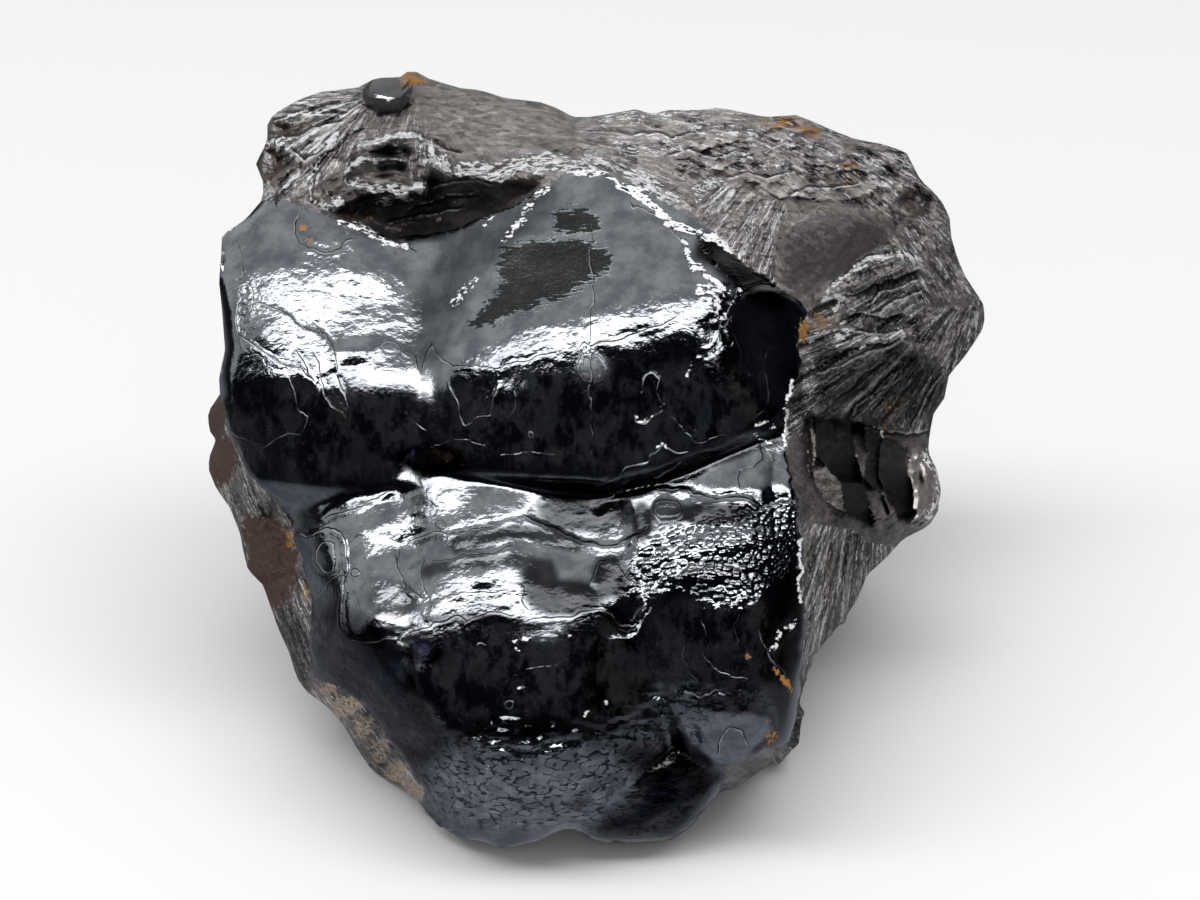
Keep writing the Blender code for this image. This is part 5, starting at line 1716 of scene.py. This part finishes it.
# Painted glints: pale, half dull flecks along the glint lines, over a ground that the
# glint lines darken as painted shade.
round_painted_glints = noise(scaled(sight, 0.7, 1.3, 1.0), 1.4, 4.0, 0.65)
long_painted_glints = noise(fibres, 2.6, 3.0, 0.6)
painted_glints = mixed(times(ramp(known("splinter"), 0.2, 0.4), less(skin)),
               round_painted_glints, long_painted_glints)
painted_glints = times(ramp(add(painted_glints, times(painted_glint_and_relief_mask, 0.12)), 0.58, 0.64),
               ramp(painted_glint_and_relief_mask, 0.05, 0.3))
crust_colour = mixed(ramp(speck, 0.4, 0.55), (0.12, 0.085, 0.065, 1.0),
                     (0.42, 0.34, 0.27, 1.0))
colour = layered(mixed(skin, break_colour, skin_colour), (
    (times(on_bead, 0.85), (0.040, 0.041, 0.040, 1.0)),
    (times(ramp(painted_glint_and_relief_mask, 0.2, 1.0), 0.5), (0.03, 0.029, 0.03, 1.0)),
    (painted_glints, (0.92, 0.92, 0.94, 1.0)),
    (brown, (0.100, 0.060, 0.050, 1.0)),
    (ochre, (0.36, 0.165, 0.03, 1.0)),
    (crust, crust_colour)))
stained = maths("MAXIMUM", maths("MAXIMUM", ochre, crust), times(brown, 0.6))
shine = layered(mixed(skin, break_rough, skin_rough),
                ((on_bead, 0.22), (painted_glints, 0.35), (stained, 0.75)))
metal = layered(mixed(skin, add(0.72, times(glint, -0.5), times(edge, -0.4)),
                      add(1.0, times(lit, -0.45), times(painted_reflection_tint, -0.14))),
                ((on_bead, 0.5), (painted_glints, 0.2), (stained, 0.0)))
height = add(mixed(skin, break_height, skin_height),
             times(stained, noise(sight, 7.0, 3.0), 0.08))
bump = node("Bump", {"Height": height, "Distance": 0.001, "Strength": 1.0})
for name, value in (("Base Color", colour), ("Metallic", metal),
                    ("Roughness", shine), ("Normal", bump.outputs[0])):
    tree.links.new(value, shader.inputs[name])
shader.inputs["Specular IOR Level"].default_value = 0.25
mesh.materials.append(finish)
print("finish:", len(tree.nodes), "nodes")

# %% [markdown]
# ## Camera and light
#
# A mirror shows the room, so the light is part of the likeness.  One long soft box
# hangs over the stone, a little to the front, and makes the white bands on the
# slopes that lean back.  The room behind and above is pale, and the room in front
# is dark, which makes the black of the upright slopes.
#
# The camera stands at the eye of the drawing.  Its lens follows from how far off the
# eye is and how wide the drawing is, so the outline falls where it was drawn.

# %% The camera
SENSOR = 36.0               # mm
DRAWING_WIDTH = 1200.0      # squares, from one edge of the view to the other
camera_data = bpy.data.cameras.new("camera")
camera_data.sensor_width = SENSOR
camera_data.lens = SENSOR * SIGHT_DISTANCE / (DRAWING_WIDTH / SQUARES_PER_MM)
camera_data.clip_start = 0.01
camera = bpy.data.objects.new("camera", camera_data)
camera.location = eye
camera.rotation_euler = (math.radians(90.0) - SIGHT_PITCH, 0.0, 0.0)
bpy.context.scene.collection.objects.link(camera)
bpy.context.scene.camera = camera
print("lens", round(camera_data.lens, 1), "mm, eye at", [round(c, 3) for c in eye])

# %% [markdown]
# The floor is plain and pale.  Seen in the mirror it would be a white glare right up
# to the stone's foot, though a real stone shades the floor it stands on, so
# reflections see a dimmer floor that falls off with distance.

# %% The floor
FLOOR_HALF = 3.0            # m, half its side
floor_mesh = bpy.data.meshes.new("floor")
ground = bmesh.new()
bmesh.ops.create_grid(ground, x_segments=1, y_segments=1, size=FLOOR_HALF)
ground.to_mesh(floor_mesh)
ground.free()
floor = bpy.data.objects.new("floor", floor_mesh)
bpy.context.scene.collection.objects.link(floor)
pale = bpy.data.materials.new("pale_floor")
pale.use_nodes = True
tree = pale.node_tree
paint = tree.nodes["Principled BSDF"]
paint.inputs["Base Color"].default_value = (0.80, 0.795, 0.785, 1.0)
paint.inputs["Roughness"].default_value = 0.9
away = node("VectorMath", {0: node("TexCoord").outputs["Object"]}, operation="LENGTH")
dimmer = node("Emission", {"Color": (0.88, 0.93, 1.05, 1.0),
                           "Strength": ramp(away.outputs["Value"],
                                            0.05, 0.16, 0.24, 0.02)})
seen_as = node("MixShader", {0: node("LightPath").outputs["Is Glossy Ray"],
                             1: paint.outputs[0], 2: dimmer.outputs[0]})
tree.links.new(seen_as.outputs[0], tree.nodes["Material Output"].inputs["Surface"])
floor_mesh.materials.append(pale)
print("floor is", floor.dimensions[0], "m wide")

# %% [markdown]
# A mirror shows a lamp as it is, so a small lamp would be a dot on every swell.  A
# long area light gives broad white bands instead, and because its own edges are
# straight, every bend in them belongs to the stone.

# %% The soft box
box_data = bpy.data.lights.new("soft_box", "AREA")
box_data.shape = "RECTANGLE"
box_data.size, box_data.size_y = 1.95, 0.34     # m
box_data.energy = 12.4      # W
soft_box = bpy.data.objects.new("soft_box", box_data)
soft_box.location = (-0.225, -0.17, 1.0)        # a little left and to the front
soft_box.rotation_euler = (math.radians(-9.6), 0.0, 0.0)
bpy.context.scene.collection.objects.link(soft_box)
print("soft box", box_data.size, "by", box_data.size_y, "m")

# %% [markdown]
# The room is a world made of three soft ramps: pale behind the stone, nearly black in
# front of it and on the far right, and a plain even grey for all but reflections.

# %% The room
room = bpy.data.worlds.new("room")
room.use_nodes = True
bpy.context.scene.world = room
tree = room.node_tree
towards = node("SeparateXYZ", {0: node("TexCoord").outputs["Generated"]}).outputs
glow = times(ramp(towards["Y"], -0.08, 0.12, 0.010, 0.66),
             ramp(towards["X"], 0.40, 0.72, 1.0, 0.02))
in_reflection = node("LightPath").outputs["Is Glossy Ray"]
strength = mixed(in_reflection, 0.55, glow)
pale_share = maths("MAXIMUM", ramp(glow, 0.0, 0.12), less(in_reflection))
tint = mixed(pale_share, (0.45, 0.55, 1.0, 1.0), (0.96, 0.985, 1.0, 1.0))
for name, value in (("Strength", strength), ("Color", tint)):
    tree.links.new(value, tree.nodes["Background"].inputs[name])
bpy.context.scene.view_settings.view_transform = "Standard"
print("room ready")
